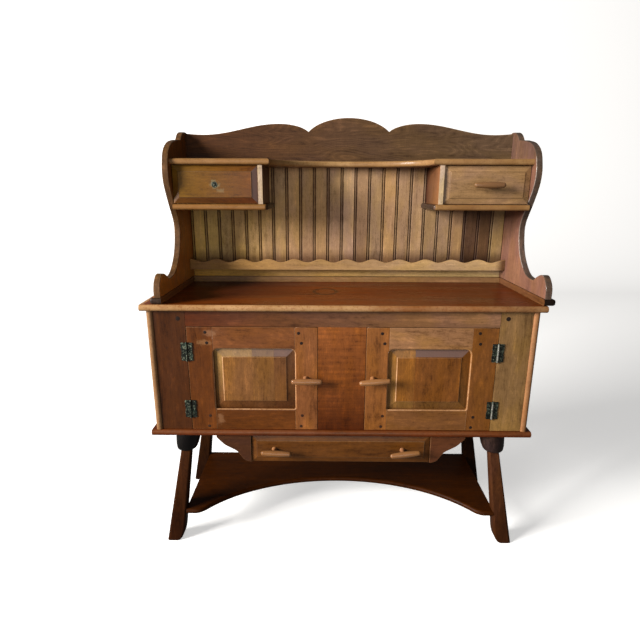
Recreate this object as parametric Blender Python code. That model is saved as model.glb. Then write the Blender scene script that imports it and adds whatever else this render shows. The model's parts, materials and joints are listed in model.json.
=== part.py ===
"""Bakers cabinet: a two-door case on four splayed legs, with a hutch top standing on its counter.

Design frame: X = 0 at the middle of the case, Y = 0 at the counter's front edge and growing
towards the wall, Z = 0 on the floor. One empty moves that frame so that the origin lies under
the middle of the whole cabinet's box. Lengths are in metres.
"""
import math

import bmesh
import bpy
from mathutils import Matrix, Vector

# Hands and facets
SIDES = ((-1, "left"), (1, "right"))
ROUND_FACES = 16
SMALL_FACES = 8

# Clearances
GAP = 0.0003
REVEAL = 0.0015
OVERRUN = 0.002

# Counter and case
COUNTER_WIDTH = 1.220
COUNTER_DEPTH = 0.430
COUNTER_THICKNESS = 0.020
COUNTER_ROUND = 0.007
CASE_WIDTH = 1.190
CASE_HEIGHT = 0.396
CASE_REAR_INSET = 0.012
SIDE_THICKNESS = 0.019
SIDE_FRONT = 0.014
SIDE_ROUND = 0.006
BOTTOM_WIDTH = 1.220
BOTTOM_THICKNESS = 0.020
BOTTOM_FRONT = 0.009
BOTTOM_ROUND = 0.007
BACK_THICKNESS = 0.006

# Face frame
FACE_INSET = 0.020
FRAME_THICKNESS = 0.020
FACE_STILE_WIDTH = 0.097
FACE_RAIL_HEIGHT = 0.051
CENTRE_PANEL_WIDTH = 0.148

# Doors
HINGE_STILE_WIDTH = 0.079
LATCH_STILE_WIDTH = 0.070
DOOR_TOP_RAIL_HEIGHT = 0.070
DOOR_BOTTOM_RAIL_HEIGHT = 0.0705
STICKING = 0.005
OPENING_TOP_CORNER = 0.016
OPENING_LOW_CORNER = 0.005
GROOVE_DEPTH = 0.008
GROOVE_SETBACK = 0.009
GROOVE_WIDTH = 0.006
PANEL_FLOAT = 0.001
PANEL_BORDER = 0.030
PANEL_RISE = 0.0033
PANEL_SHOULDER = 0.0018
SHOULDER_DRAFT = 0.0006

# Hinges
HINGE_HEIGHT = 0.060
HINGE_LEAF_WIDTH = 0.0175
HINGE_WAIST_WIDTH = 0.0120
HINGE_LEAF_THICKNESS = 0.0020
HINGE_HORN = 0.017
HINGE_TAPER = 0.005
HINGE_SLIT = 0.0005
KNUCKLE_RADIUS = 0.0032
PIN_RADIUS = 0.0014
FINIAL_RADIUS = 0.0024
FINIAL_LENGTH = 0.0030
LOWER_HINGE_RISE = 0.041
UPPER_HINGE_DROP = 0.049

# Pulls and door latches
PULL_LENGTH = 0.092
PULL_MIDDLE_RADIUS = 0.008
PULL_END_RADIUS = 0.0055
PULL_STANDOFF = 0.028
POST_RADIUS = 0.009
POST_WAIST = 0.0065
LATCH_RISE = 0.1755
LEFT_LATCH_SETBACK = 0.0365
RIGHT_LATCH_SETBACK = 0.0225
SPINDLE_RADIUS = 0.005
SPINDLE_TAIL = 0.003
TONGUE_THICKNESS = 0.008
TONGUE_RADIUS = 0.009
TONGUE_TIP_RADIUS = 0.006
TONGUE_REACH = 0.052
TONGUE_CLEARANCE = 0.0015
LEFT_LATCH_TILT = math.radians(0.0)
RIGHT_LATCH_TILT = math.radians(-5.0)
PULL_SWELL_SHARES = (1, 2 / 3, 1 / 3, 0)

# Legs, their turned sockets and the lower shelf
LEG_HEIGHT = 0.400
LEG_TOP_X = 0.4975
LEG_TOP_Y = 0.055
LEG_FOOT_X = 0.560
LEG_FOOT_Y = 0.034
LEG_TOP_WIDTH = 0.033
LEG_TOP_DEPTH = 0.033
LEG_FOOT_WIDTH = 0.056
LEG_FOOT_DEPTH = 0.046
LEG_CHAMFER = 0.007
FOOT_ROUND_HEIGHT = 0.046
FOOT_ROUND_INSET = 0.018
FOOT_ROUND_SHARES = (0.0, 0.2, 0.5, 1.0)
SOCKET_HEIGHT = 0.064
SOCKET_TOP_RADIUS = 0.0385
SOCKET_LOW_RADIUS = 0.0265
SOCKET_ROUND = 0.009
TENON_RADIUS = 0.011
TENON_LENGTH = 0.042
LOWER_SHELF_RISE = 0.100
LOWER_SHELF_THICKNESS = 0.018
LOWER_SHELF_REAR_INSET = 0.039
LOWER_SHELF_HOUSING = 0.005
ARCH_HALF_WIDTH = 0.470
ARCH_RISE = 0.196
ARCH_FULL_HALF_WIDTH = 0.520
LOBE_ROUND = 0.045

# Lower drawer, its runners and the ogee brackets beside it
LOWER_DRAWER_FACE = 0.022
LOWER_FRONT_WIDTH = 0.582
LOWER_FRONT_HEIGHT = 0.096
LOWER_FRONT_THICKNESS = 0.020
LOWER_BORDER = 0.018
LOWER_DRAWER_DEPTH = 0.318
LOWER_SIDE_HEIGHT = 0.068
LOWER_SIDE_DROP = 0.010
DRAWER_WALL = 0.011
DRAWER_BOTTOM = 0.006
RUNNER_WEB = 0.012
RUNNER_LEDGE = 0.010
RUNNER_LEDGE_HEIGHT = 0.010
RUNNER_PLAY = 0.001
FIELD_RISE = 0.0035
FIELD_SHOULDER = 0.0012
LEFT_PULL_X = -0.216
RIGHT_PULL_X = 0.202
LOWER_PULL_RISE = 0.047
LEFT_PULL_TILT = math.radians(2.4)
RIGHT_PULL_TILT = math.radians(-8.0)
BRACKET_LENGTH = 0.1115
BRACKET_HEIGHT = 0.098
BRACKET_THICKNESS = 0.020
BRACKET_OUTLINE_SHARES = (
    (1.0, 0.10), (0.77, 0.37), (0.44, 0.59), (0.33, 0.74), (0.20, 0.93), (0.04, 1.0),
)

# Hutch top, which stands a little to the right on the counter
HUTCH_SHIFT = 0.027
HUTCH_WIDTH = 1.180
HUTCH_FRONT = 0.009
HUTCH_REAR_INSET = 0.018
HUTCH_SIDE_THICKNESS = 0.020
HUTCH_SIDE_HEIGHT = 0.505
SHOE_HEIGHT = 0.020
SHOE_OVERHANG = 0.014
SHOE_LIP = 0.001
SHOE_NOSE = 0.003
SHOE_ROUND = 0.006
BASE_RAIL_DEPTH = 0.027
RISER_HEIGHT = 0.032
RISER_THICKNESS = 0.014
LEDGE_THICKNESS = 0.010
LEDGE_PROJECTION = 0.037
GALLERY_THICKNESS = 0.012
GALLERY_HEIGHT = 0.0335
GALLERY_WAVE = 0.0045
GALLERY_WAVES = 12
WAVE_STEPS = 6
BEAD_SETBACK = 0.016
BEAD_THICKNESS = 0.010
BEAD_WIDTH = 0.009
BEAD_GROOVE = 0.0022
BEAD_QUIRK = 0.0012
BOARD_COUNT = 22
TOP_SHELF_THICKNESS = 0.019
TOP_SHELF_FRONT = 0.190
RECESS_HALF_WIDTH = 0.258
RECESS_DEPTH = 0.165
CREST_THICKNESS = 0.018
CREST_HUMP = 0.145
CREST_HUMP_WIDTH = 0.160
CREST_HUMP_DEPTH = 0.087
CREST_CUSP = 0.140
CREST_SHOULDER = 0.126
CREST_SHOULDER_X = 0.242
CREST_SHOULDER_WIDTH = 0.112
CREST_SHOULDER_DEPTH = 0.044
CREST_VALLEY = 0.090
CREST_VALLEY_X = 0.505
CREST_EAR_RISE = 0.004

# Upper drawers and the boards that carry them
BAY_HEIGHT = 0.269
CARRIER_THICKNESS = 0.018
CARRIER_OVERHANG = 0.016
CARRIER_CORNER = 0.012
UPPER_OPENING_HEIGHT = 0.121
UPPER_OPENING_WIDTH = 0.275
DIVIDER_THICKNESS = 0.015
DIVIDER_FRONT = 0.197
UPPER_DRAWER_FACE = 0.200
UPPER_FRONT_THICKNESS = 0.018
UPPER_BORDER = 0.019
UPPER_REAR_CLEARANCE = 0.016
UPPER_SIDE_HEIGHT = 0.098
UPPER_SIDE_SETBACK = 0.003

# The hutch side's outline as shares of its depth and of its height, from the foot up
FOOT_SCROLL_SHARES = (
    (0.0, 0.0), (0.0, 0.052), (0.022, 0.093), (0.072, 0.128), (0.127, 0.128), (0.187, 0.107),
    (0.236, 0.082),
)
SIDE_SWEEP_SHARES = (
    (0.285, 0.082), (0.385, 0.096), (0.475, 0.143), (0.556, 0.217), (0.603, 0.317),
    (0.603, 0.408), (0.516, 0.515), (0.431, 0.628), (0.406, 0.703), (0.416, 0.772),
    (0.461, 0.850), (0.560, 0.903), (0.697, 0.929), (0.816, 0.939),
)
EAR_SHARES = ((0.836, 0.957), (0.871, 0.980), (0.921, 0.996), (0.975, 1.0), (1.0, 1.0))

# Heights and places that follow from the sizes above
BOTTOM_TOP = LEG_HEIGHT + BOTTOM_THICKNESS
CASE_TOP = BOTTOM_TOP + CASE_HEIGHT
COUNTER_TOP = CASE_TOP + COUNTER_THICKNESS
CASE_REAR = COUNTER_DEPTH - CASE_REAR_INSET
CASE_INNER = CASE_WIDTH / 2 - SIDE_THICKNESS
STILE_INNER = CASE_INNER - FACE_STILE_WIDTH
FACE_BACK = FACE_INSET + FRAME_THICKNESS
DOOR_TOP = CASE_TOP - FACE_RAIL_HEIGHT
DOOR_LOW = BOTTOM_TOP + REVEAL
DOOR_WIDTH = STILE_INNER - CENTRE_PANEL_WIDTH / 2 - 2 * REVEAL
DOOR_HEIGHT = DOOR_TOP - BOTTOM_TOP - 2 * REVEAL
HINGE_AXIS_Y = FACE_INSET - GAP - KNUCKLE_RADIUS
DOOR_FRONT = FACE_INSET - HINGE_AXIS_Y
DOOR_BACK = DOOR_FRONT + FRAME_THICKNESS
SPINDLE_BORE = (SPINDLE_RADIUS + GAP) / math.cos(math.pi / SMALL_FACES)
SOCKET_LOW = LEG_HEIGHT - SOCKET_HEIGHT
LOWER_SHELF_TOP = LOWER_SHELF_RISE + LOWER_SHELF_THICKNESS
HUTCH_OUTER = HUTCH_WIDTH / 2
HUTCH_INNER = HUTCH_OUTER - HUTCH_SIDE_THICKNESS
HUTCH_REAR = COUNTER_DEPTH - HUTCH_REAR_INSET
BEAD_FACE = HUTCH_REAR - BEAD_SETBACK
BETWEEN_SIDES = HUTCH_INNER - GAP
RISER_TOP = SHOE_HEIGHT + RISER_HEIGHT
LEDGE_TOP = RISER_TOP + LEDGE_THICKNESS
LEDGE_FRONT = BEAD_FACE - LEDGE_PROJECTION
CARRIER_TOP = BAY_HEIGHT + CARRIER_THICKNESS
SHELF_UNDERSIDE = CARRIER_TOP + UPPER_OPENING_HEIGHT
SHELF_TOP = SHELF_UNDERSIDE + TOP_SHELF_THICKNESS
SHELF_REAR = BEAD_FACE - GAP
UPPER_DRAWER_DEPTH = BEAD_FACE - UPPER_REAR_CLEARANCE - UPPER_DRAWER_FACE
DIVIDER_OUTER = HUTCH_INNER - UPPER_OPENING_WIDTH
DIVIDER_INNER = DIVIDER_OUTER - DIVIDER_THICKNESS
UPPER_DRAWER_X = HUTCH_INNER - UPPER_OPENING_WIDTH / 2
RUNNER_OUTER = LOWER_FRONT_WIDTH / 2
LOWER_BOX_HALF = RUNNER_OUTER - RUNNER_WEB - RUNNER_PLAY
LOWER_FRONT_TOP = LEG_HEIGHT - 2 * REVEAL
LOWER_FRONT_LOW = LOWER_FRONT_TOP - LOWER_FRONT_HEIGHT
LOWER_SIDE_LOW = LOWER_FRONT_TOP - LOWER_SIDE_DROP - LOWER_SIDE_HEIGHT
FOOTPRINT_LEFT = -max(COUNTER_WIDTH / 2, HUTCH_OUTER + SHOE_OVERHANG - HUTCH_SHIFT)
FOOTPRINT_RIGHT = max(COUNTER_WIDTH / 2, HUTCH_OUTER + SHOE_OVERHANG + HUTCH_SHIFT)
PULL_FRONT = FACE_INSET - PULL_STANDOFF - PULL_MIDDLE_RADIUS * math.cos(math.pi / SMALL_FACES)
FOOTPRINT_FRONT = min(0.0, PULL_FRONT)


def make_material(name, colour, roughness, metallic=0.0):
    """Make a plain Principled material with the piece's own colour."""
    material = bpy.data.materials.new(name)
    material.use_nodes = True
    shader = material.node_tree.nodes["Principled BSDF"]
    shader.inputs["Base Color"].default_value = (*colour, 1.0)
    shader.inputs["Roughness"].default_value = roughness
    shader.inputs["Metallic"].default_value = metallic
    material.diffuse_color = (*colour, 1.0)
    return material


def make_empty(name, location, parent=None):
    """Make an empty that carries pieces, such as a joint's axis."""
    empty = bpy.data.objects.new(name, None)
    empty.location = location
    empty.parent = parent
    bpy.context.scene.collection.objects.link(empty)
    return empty


def make_piece(name, bm, material, parent, at=(0.0, 0.0, 0.0), smooth=False):
    """Turn a bmesh drawn in its parent's frame into an object whose origin is at a given place."""
    bmesh.ops.recalc_face_normals(bm, faces=bm.faces)
    if bm.calc_volume(signed=True) < 0:
        bmesh.ops.reverse_faces(bm, faces=bm.faces)
    bmesh.ops.translate(bm, verts=bm.verts, vec=-Vector(at))
    mesh = bpy.data.meshes.new(name)
    bm.to_mesh(mesh)
    bm.free()
    if smooth:
        mesh.shade_smooth()
        mesh.set_sharp_from_angle(angle=math.radians(40))
    piece = bpy.data.objects.new(name, mesh)
    piece.location = at
    piece.parent = parent
    if material is not None:
        piece.data.materials.append(material)
    bpy.context.scene.collection.objects.link(piece)
    return piece


def make_tool(name, bm, parent):
    """Make a hidden solid that others are cut with or joined to."""
    tool = make_piece(name, bm, None, parent)
    tool.display_type = "WIRE"
    tool.hide_render = True
    return tool


def combine(piece, tool, operation):
    """Add an exact Boolean of a tool to a piece."""
    boolean = piece.modifiers.new(tool.name, "BOOLEAN")
    boolean.operation = operation
    boolean.solver = "EXACT"
    boolean.object = tool


def add_block(bm, x, y, z):
    """Add a box between the two ends of each range."""
    centre = Vector((sum(x), sum(y), sum(z))) / 2
    size = Matrix.Diagonal((abs(x[1] - x[0]), abs(y[1] - y[0]), abs(z[1] - z[0]), 1.0))
    bmesh.ops.create_cube(bm, size=1.0, matrix=Matrix.Translation(centre) @ size)


def make_board(name, x, y, z, material, parent, soften=None):
    """Make one board between the two ends of each range, with its origin at its centre."""
    bm = bmesh.new()
    add_block(bm, x, y, z)
    if soften is not None:
        soften(bm)
    centre = (sum(x) / 2, sum(y) / 2, sum(z) / 2)
    return make_piece(name, bm, material, parent, at=centre)


def direction(edge):
    """The unit direction of an edge."""
    return (edge.verts[1].co - edge.verts[0].co).normalized()


def middle(edge):
    """The middle point of an edge."""
    return (edge.verts[0].co + edge.verts[1].co) / 2


def upright(edge):
    """Whether an edge runs up and down."""
    return abs(direction(edge).z) > math.cos(math.radians(45))


def round_edges(bm, edges, radius):
    """Round some edges to a radius."""
    bmesh.ops.bevel(
        bm, geom=edges, offset=radius, offset_type="OFFSET", segments=2, profile=0.5, affect="EDGES",
    )


def round_rim(bm, rear, radius):
    """Round a flat board's front edges and its ends, but not its rear edges."""
    round_edges(bm, [edge for edge in bm.edges if middle(edge).y < rear - radius], radius)


def round_front_corners(bm, rear, radius):
    """Round a board's two upright front edges."""
    round_edges(bm, [edge for edge in bm.edges if upright(edge) and middle(edge).y < rear], radius)


def add_plate(bm, outline, axis, low, high):
    """Extrude a closed outline from low to high along X, Y or Z."""
    def place(point):
        u, v = point
        return {"X": (low, u, v), "Y": (u, low, v), "Z": (u, v, low)}[axis]
    face = bm.faces.new([bm.verts.new(place(point)) for point in outline])
    extruded = bmesh.ops.extrude_face_region(bm, geom=[face])
    moved = [item for item in extruded["geom"] if isinstance(item, bmesh.types.BMVert)]
    travel = Vector([high - low if axis == name else 0.0 for name in "XYZ"])
    bmesh.ops.translate(bm, verts=moved, vec=travel)


def add_loft(bm, rings):
    """Join rings of equally many points, point to point, into one closed solid."""
    rows = [[bm.verts.new(point) for point in ring] for ring in rings]
    for low, high in zip(rows, rows[1:]):
        for index in range(len(low)):
            bm.faces.new((low[index - 1], low[index], high[index], high[index - 1]))
    bm.faces.new(rows[0])
    bm.faces.new(rows[-1])


def circle_points(radius, faces, start=0.0):
    """Points round a circle from a starting angle."""
    turns = [start + 2 * math.pi * step / faces for step in range(faces)]
    return [(radius * math.cos(turn), radius * math.sin(turn)) for turn in turns]


def add_turned(bm, profile, axis, centre):
    """Turn a profile of (radius, height) pairs about a line along X, Y or Z through a point."""
    rings = []
    for radius, height in profile:
        ring = []
        for u, v in circle_points(radius, SMALL_FACES, math.pi / SMALL_FACES):
            offset = {"X": (height, u, v), "Y": (u, height, v), "Z": (u, v, height)}[axis]
            ring.append(Vector(centre) + Vector(offset))
        rings.append(ring)
    add_loft(bm, rings)


def smooth_curve(points, steps):
    """A Catmull-Rom curve through hand-chosen points."""
    ends = [points[0], *points, points[-1]]
    curve = []
    for index in range(1, len(ends) - 2):
        before, start, end, after = (Vector(point) for point in ends[index - 1:index + 3])
        for step in range(steps):
            t = step / steps
            curve.append(0.5 * (
                2 * start + (end - before) * t
                + (2 * before - 5 * start + 4 * end - after) * t ** 2
                + (3 * start - before - 3 * end + after) * t ** 3
            ))
    curve.append(Vector(points[-1]))
    return [tuple(point) for point in curve]


def raise_field(bm, faces, border, rise, shoulder):
    """Raise a flat field inside a sloping border, with a small shoulder round the field."""
    for thickness, depth in ((border, rise), (SHOULDER_DRAFT, shoulder)):
        bmesh.ops.inset_region(bm, faces=faces, thickness=thickness, depth=depth, use_even_offset=True)


def front_faces(bm):
    """The faces that look forwards."""
    bm.normal_update()
    return [face for face in bm.faces if face.normal.y < -math.cos(math.radians(45))]


def clear_scene():
    """Remove every object, so that the script starts from an empty scene."""
    for old in list(bpy.data.objects):
        bpy.data.objects.remove(old, do_unlink=True)


def build_case(wood, root):
    """The case's counter, bottom, sides and back."""
    half = COUNTER_WIDTH / 2
    make_board(
        "counter_top", (-half, half), (0.0, COUNTER_DEPTH), (CASE_TOP + GAP, COUNTER_TOP),
        wood["counter"], root, lambda bm: round_rim(bm, COUNTER_DEPTH, COUNTER_ROUND),
    )
    half = BOTTOM_WIDTH / 2
    make_board(
        "case_bottom", (-half, half), (BOTTOM_FRONT, CASE_REAR), (LEG_HEIGHT, BOTTOM_TOP),
        wood["case"], root, lambda bm: round_rim(bm, CASE_REAR, BOTTOM_ROUND),
    )
    tall = (BOTTOM_TOP + GAP, CASE_TOP)
    for side, hand in SIDES:
        make_board(
            "case_side_" + hand, (side * CASE_INNER, side * CASE_WIDTH / 2), (SIDE_FRONT, CASE_REAR),
            tall, wood["case"], root, lambda bm: round_front_corners(bm, FACE_BACK, SIDE_ROUND),
        )
    half = CASE_INNER - GAP
    make_board(
        "case_back", (-half, half), (CASE_REAR - BACK_THICKNESS, CASE_REAR), tall, wood["inside"], root,
    )


def build_face_frame(wood, root):
    """The face frame's two stiles, its top rail and the panel between the doors."""
    depth = (FACE_INSET, FACE_BACK)
    tall = (BOTTOM_TOP + GAP, CASE_TOP)
    for side, hand in SIDES:
        make_board(
            "face_stile_" + hand, (side * STILE_INNER, side * (CASE_INNER - GAP)), depth, tall,
            wood["case"], root,
        )
    half = STILE_INNER - GAP
    make_board("face_top_rail", (-half, half), depth, (DOOR_TOP, CASE_TOP), wood["case"], root)
    half = CENTRE_PANEL_WIDTH / 2
    make_board(
        "face_centre_panel", (-half, half), depth, (BOTTOM_TOP + GAP, DOOR_TOP - GAP),
        wood["case"], root,
    )


def arched_opening(x, z, grow):
    """A door opening's outline, with large upper and small lower corners, grown on all sides."""
    low_x, high_x = min(x) - grow, max(x) + grow
    low_z, high_z = min(z) - grow, max(z) + grow
    top = OPENING_TOP_CORNER + grow
    low = OPENING_LOW_CORNER + grow
    corners = (
        (high_x - top, high_z - top, top), (low_x + top, high_z - top, top),
        (low_x + low, low_z + low, low), (high_x - low, low_z + low, low),
    )
    points = []
    for quarter, (centre_x, centre_z, radius) in enumerate(corners):
        for step in range(4):
            turn = math.pi / 2 * (quarter + step / 3)
            points.append((centre_x + radius * math.cos(turn), centre_z + radius * math.sin(turn)))
    return points


def make_sticking_tool(name, x, z, parent):
    """A flared plug that cuts a door's opening and rounds its front edge."""
    slope = math.radians(45)
    profile = (
        (STICKING, -OVERRUN),
        (STICKING, 0.0),
        (STICKING * (1 - math.sin(slope)), STICKING * (1 - math.cos(slope))),
        (0.0, STICKING),
        (0.0, FRAME_THICKNESS + OVERRUN),
    )
    rings = []
    for grow, depth in profile:
        outline = arched_opening(x, z, grow)
        rings.append([(point_x, DOOR_FRONT + depth, point_z) for point_x, point_z in outline])
    bm = bmesh.new()
    add_loft(bm, rings)
    return make_tool(name, bm, parent)


def build_door(prefix, side, setback, wood, pivot):
    """One door's frame and raised panel, drawn from its hinge axis and its lower edge."""
    inward = -side
    hinge_edge = inward * REVEAL
    latch_edge = inward * (REVEAL + DOOR_WIDTH)
    opening_x = (hinge_edge + inward * HINGE_STILE_WIDTH, latch_edge - inward * LATCH_STILE_WIDTH)
    opening_z = (DOOR_BOTTOM_RAIL_HEIGHT, DOOR_HEIGHT - DOOR_TOP_RAIL_HEIGHT)
    wide = (min(opening_x), max(opening_x))
    latch_x = latch_edge - inward * setback

    frame = make_board(
        prefix + "_frame", (hinge_edge, latch_edge), (DOOR_FRONT, DOOR_BACK), (0.0, DOOR_HEIGHT),
        wood["door"], pivot,
    )
    combine(frame, make_sticking_tool(prefix + "_sticking_tool", opening_x, opening_z, pivot), "DIFFERENCE")
    groove_y = (DOOR_FRONT + GROOVE_SETBACK, DOOR_FRONT + GROOVE_SETBACK + GROOVE_WIDTH)
    groove = bmesh.new()
    add_block(
        groove, (wide[0] - GROOVE_DEPTH, wide[1] + GROOVE_DEPTH), groove_y,
        (opening_z[0] - GROOVE_DEPTH, opening_z[1] + GROOVE_DEPTH),
    )
    combine(frame, make_tool(prefix + "_groove_tool", groove, pivot), "DIFFERENCE")
    bore = bmesh.new()
    hole = ((SPINDLE_BORE, DOOR_FRONT - OVERRUN), (SPINDLE_BORE, DOOR_BACK + OVERRUN))
    add_turned(bore, hole, "Y", (latch_x, 0.0, LATCH_RISE))
    combine(frame, make_tool(prefix + "_bore_tool", bore, pivot), "DIFFERENCE")

    edge = GROOVE_DEPTH - PANEL_FLOAT
    panel = bmesh.new()
    add_block(
        panel, (wide[0] - edge, wide[1] + edge), (groove_y[0] + GAP, groove_y[1] - GAP),
        (opening_z[0] - edge, opening_z[1] + edge),
    )
    field = front_faces(panel)
    margin = OPENING_TOP_CORNER * (1 - math.sin(math.radians(45)))
    bmesh.ops.inset_region(
        panel, faces=field, thickness=GROOVE_DEPTH + margin, depth=0.0, use_even_offset=True,
    )
    raise_field(panel, field, PANEL_BORDER - margin, PANEL_RISE, PANEL_SHOULDER)
    make_piece(prefix + "_panel", panel, wood["door"], pivot)
    return latch_x


def inside_span(span):
    """A hinge leaf's height range within its knuckles' range."""
    return span[0] + HINGE_SLIT, span[1] - HINGE_SLIT


def hinge_outline(outward, span, tabs):
    """A waisted hinge leaf's outline, with a tab to the pin at each of its knuckles."""
    low, high = span
    inner = outward * (KNUCKLE_RADIUS + HINGE_SLIT)
    outer = outward * HINGE_LEAF_WIDTH
    waist = outward * HINGE_WAIST_WIDTH
    outline = [
        (outer, high), (outer, high - HINGE_HORN), (waist, high - HINGE_HORN - HINGE_TAPER),
        (waist, low + HINGE_HORN + HINGE_TAPER), (outer, low + HINGE_HORN), (outer, low),
    ]
    if tabs[0][0] > low:
        outline.append((inner, low))
    for tab_low, tab_high in tabs:
        if tab_low > low:
            outline.append((inner, tab_low))
        outline += [(0.0, tab_low), (0.0, tab_high)]
        if tab_high < high:
            outline.append((inner, tab_high))
    if tabs[-1][1] < high:
        outline.append((inner, high))
    return outline


def make_hinge_leaf(name, outward, at, tabs, barrel, wood, parent):
    """Make one hinge leaf and roll its knuckles round the pin's axis."""
    x, y, low = at
    back = y + KNUCKLE_RADIUS
    span = inside_span((low, low + HINGE_HEIGHT))
    tabs = [inside_span(tab) for tab in tabs]
    outline = [(x + u, v) for u, v in hinge_outline(outward, span, tabs)]
    leaf = bmesh.new()
    add_plate(leaf, outline, "Y", back - HINGE_LEAF_THICKNESS, back)
    leaf = make_piece(name, leaf, wood["bronze"], parent, at=(x, y, low))
    knuckles = bmesh.new()
    add_turned(knuckles, barrel, "Z", (x, y, 0.0))
    combine(leaf, make_tool(name + "_knuckles", knuckles, parent), "UNION")
    return leaf


def build_hinge(hand, level, side, rise, wood, root, pivot):
    """One waisted butt hinge: the door's leaf, and the frame's leaf with the pin."""
    third = HINGE_HEIGHT / 3
    slit = HINGE_SLIT / 2
    door_tab = ((rise + third + slit, rise + 2 * third - slit),)
    barrel = ((KNUCKLE_RADIUS, door_tab[0][0]), (KNUCKLE_RADIUS, door_tab[0][1]))
    name = "{}_door_hinge_{}".format(hand, level)
    leaf = make_hinge_leaf(name, -side, (0.0, 0.0, rise), door_tab, barrel, wood, pivot)
    bore = bmesh.new()
    hole = ((PIN_RADIUS + GAP, rise), (PIN_RADIUS + GAP, rise + HINGE_HEIGHT))
    add_turned(bore, hole, "Z", (0.0, 0.0, 0.0))
    combine(leaf, make_tool(name + "_bore", bore, pivot), "DIFFERENCE")

    low = DOOR_LOW + rise
    high = low + HINGE_HEIGHT
    frame_tabs = ((low, low + third - slit), (high - third + slit, high))
    barrel = (
        (FINIAL_RADIUS / 2, low - FINIAL_LENGTH), (FINIAL_RADIUS, low - FINIAL_LENGTH / 2),
        (FINIAL_RADIUS, low), (KNUCKLE_RADIUS, low), (KNUCKLE_RADIUS, frame_tabs[0][1]),
        (PIN_RADIUS, frame_tabs[0][1]), (PIN_RADIUS, frame_tabs[1][0]),
        (KNUCKLE_RADIUS, frame_tabs[1][0]), (KNUCKLE_RADIUS, high), (FINIAL_RADIUS, high),
        (FINIAL_RADIUS, high + FINIAL_LENGTH / 2), (FINIAL_RADIUS / 2, high + FINIAL_LENGTH),
    )
    name = "{}_frame_hinge_{}".format(hand, level)
    make_hinge_leaf(name, side, (side * STILE_INNER, HINGE_AXIS_Y, low), frame_tabs, barrel, wood, root)


def build_doors(wood, root):
    """Both doors with their hinges and turning latches."""
    setbacks = {"left": LEFT_LATCH_SETBACK, "right": RIGHT_LATCH_SETBACK}
    tilts = {"left": LEFT_LATCH_TILT, "right": RIGHT_LATCH_TILT}
    for side, hand in SIDES:
        hinge_x = side * STILE_INNER
        pivot = make_empty(hand + "_door_pivot", (hinge_x, HINGE_AXIS_Y, DOOR_LOW), root)
        latch_x = build_door(hand + "_door", side, setbacks[hand], wood, pivot)
        build_hinge(hand, "lower", side, LOWER_HINGE_RISE, wood, root, pivot)
        build_hinge(hand, "upper", side, DOOR_HEIGHT - UPPER_HINGE_DROP - HINGE_HEIGHT, wood, root, pivot)
        axis = make_empty(
            hand + "_latch_axis", (hinge_x + latch_x, FACE_INSET, DOOR_LOW + LATCH_RISE), root,
        )
        build_latch(hand + "_latch", tilts[hand], wood, axis)


def make_pull(name, at, tilt, shank, wood, parent):
    """Make a boat-shaped bar on a shank, the bar lying along X but for its tilt."""
    half = PULL_LENGTH / 2 - PULL_END_RADIUS
    profile = []
    for angle in (20, 55):
        turn = math.radians(angle)
        profile.append((PULL_END_RADIUS * math.sin(turn), half + PULL_END_RADIUS * math.cos(turn)))
    for share in PULL_SWELL_SHARES:
        swell = (PULL_MIDDLE_RADIUS - PULL_END_RADIUS) * (1 - share ** 2)
        profile.append((PULL_END_RADIUS + swell, half * share))
    profile += [(radius, -along) for radius, along in reversed(profile[:-1])]
    bar = bmesh.new()
    add_turned(bar, profile, "X", (0.0, 0.0, 0.0))
    place = Matrix.Translation(Vector(at) - Vector((0.0, PULL_STANDOFF, 0.0)))
    bmesh.ops.transform(bar, verts=bar.verts, matrix=place @ Matrix.Rotation(tilt, 4, "Y"))
    bar = make_piece(name, bar, wood["pull"], parent, at=at, smooth=True)
    stem = bmesh.new()
    add_turned(stem, shank, "Y", at)
    combine(bar, make_tool(name + "_shank", stem, parent), "UNION")


def pull_shank():
    """The turned post under a pull bar, which seats on the face at Y = 0."""
    return [
        (POST_WAIST, -PULL_STANDOFF), (POST_WAIST, (-PULL_STANDOFF - GAP) / 2), (POST_RADIUS, -GAP),
    ]


def build_latch(prefix, tilt, wood, axis):
    """A door's turning latch: the pull with its spindle, and the tongue behind the stile."""
    tongue_front = FRAME_THICKNESS + TONGUE_CLEARANCE
    tongue_back = tongue_front + TONGUE_THICKNESS
    shank = pull_shank() + [(SPINDLE_RADIUS, -GAP), (SPINDLE_RADIUS, tongue_back + SPINDLE_TAIL)]
    make_pull(prefix + "_handle", (0.0, 0.0, 0.0), tilt, shank, wood, axis)

    outline = []
    for step in range(7):
        turn = math.pi * step / 6
        outline.append((TONGUE_RADIUS * math.cos(turn), TONGUE_RADIUS * math.sin(turn)))
    for step in range(5):
        turn = math.pi + math.pi * step / 4
        low = TONGUE_TIP_RADIUS * math.sin(turn) - TONGUE_REACH + TONGUE_TIP_RADIUS
        outline.append((TONGUE_TIP_RADIUS * math.cos(turn), low))
    tongue = bmesh.new()
    add_plate(tongue, outline, "Y", tongue_front, tongue_back)
    tongue = make_piece(prefix + "_tongue", tongue, wood["inside"], axis)
    eye = bmesh.new()
    hole = ((SPINDLE_RADIUS + GAP, tongue_front - OVERRUN), (SPINDLE_RADIUS + GAP, tongue_back + OVERRUN))
    add_turned(eye, hole, "Y", (0.0, 0.0, 0.0))
    combine(tongue, make_tool(prefix + "_eye_tool", eye, axis), "DIFFERENCE")


def leg_axis(z):
    """The front right leg's middle at one height."""
    share = z / LEG_HEIGHT
    return (
        LEG_FOOT_X + (LEG_TOP_X - LEG_FOOT_X) * share, LEG_FOOT_Y + (LEG_TOP_Y - LEG_FOOT_Y) * share,
    )


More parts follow.
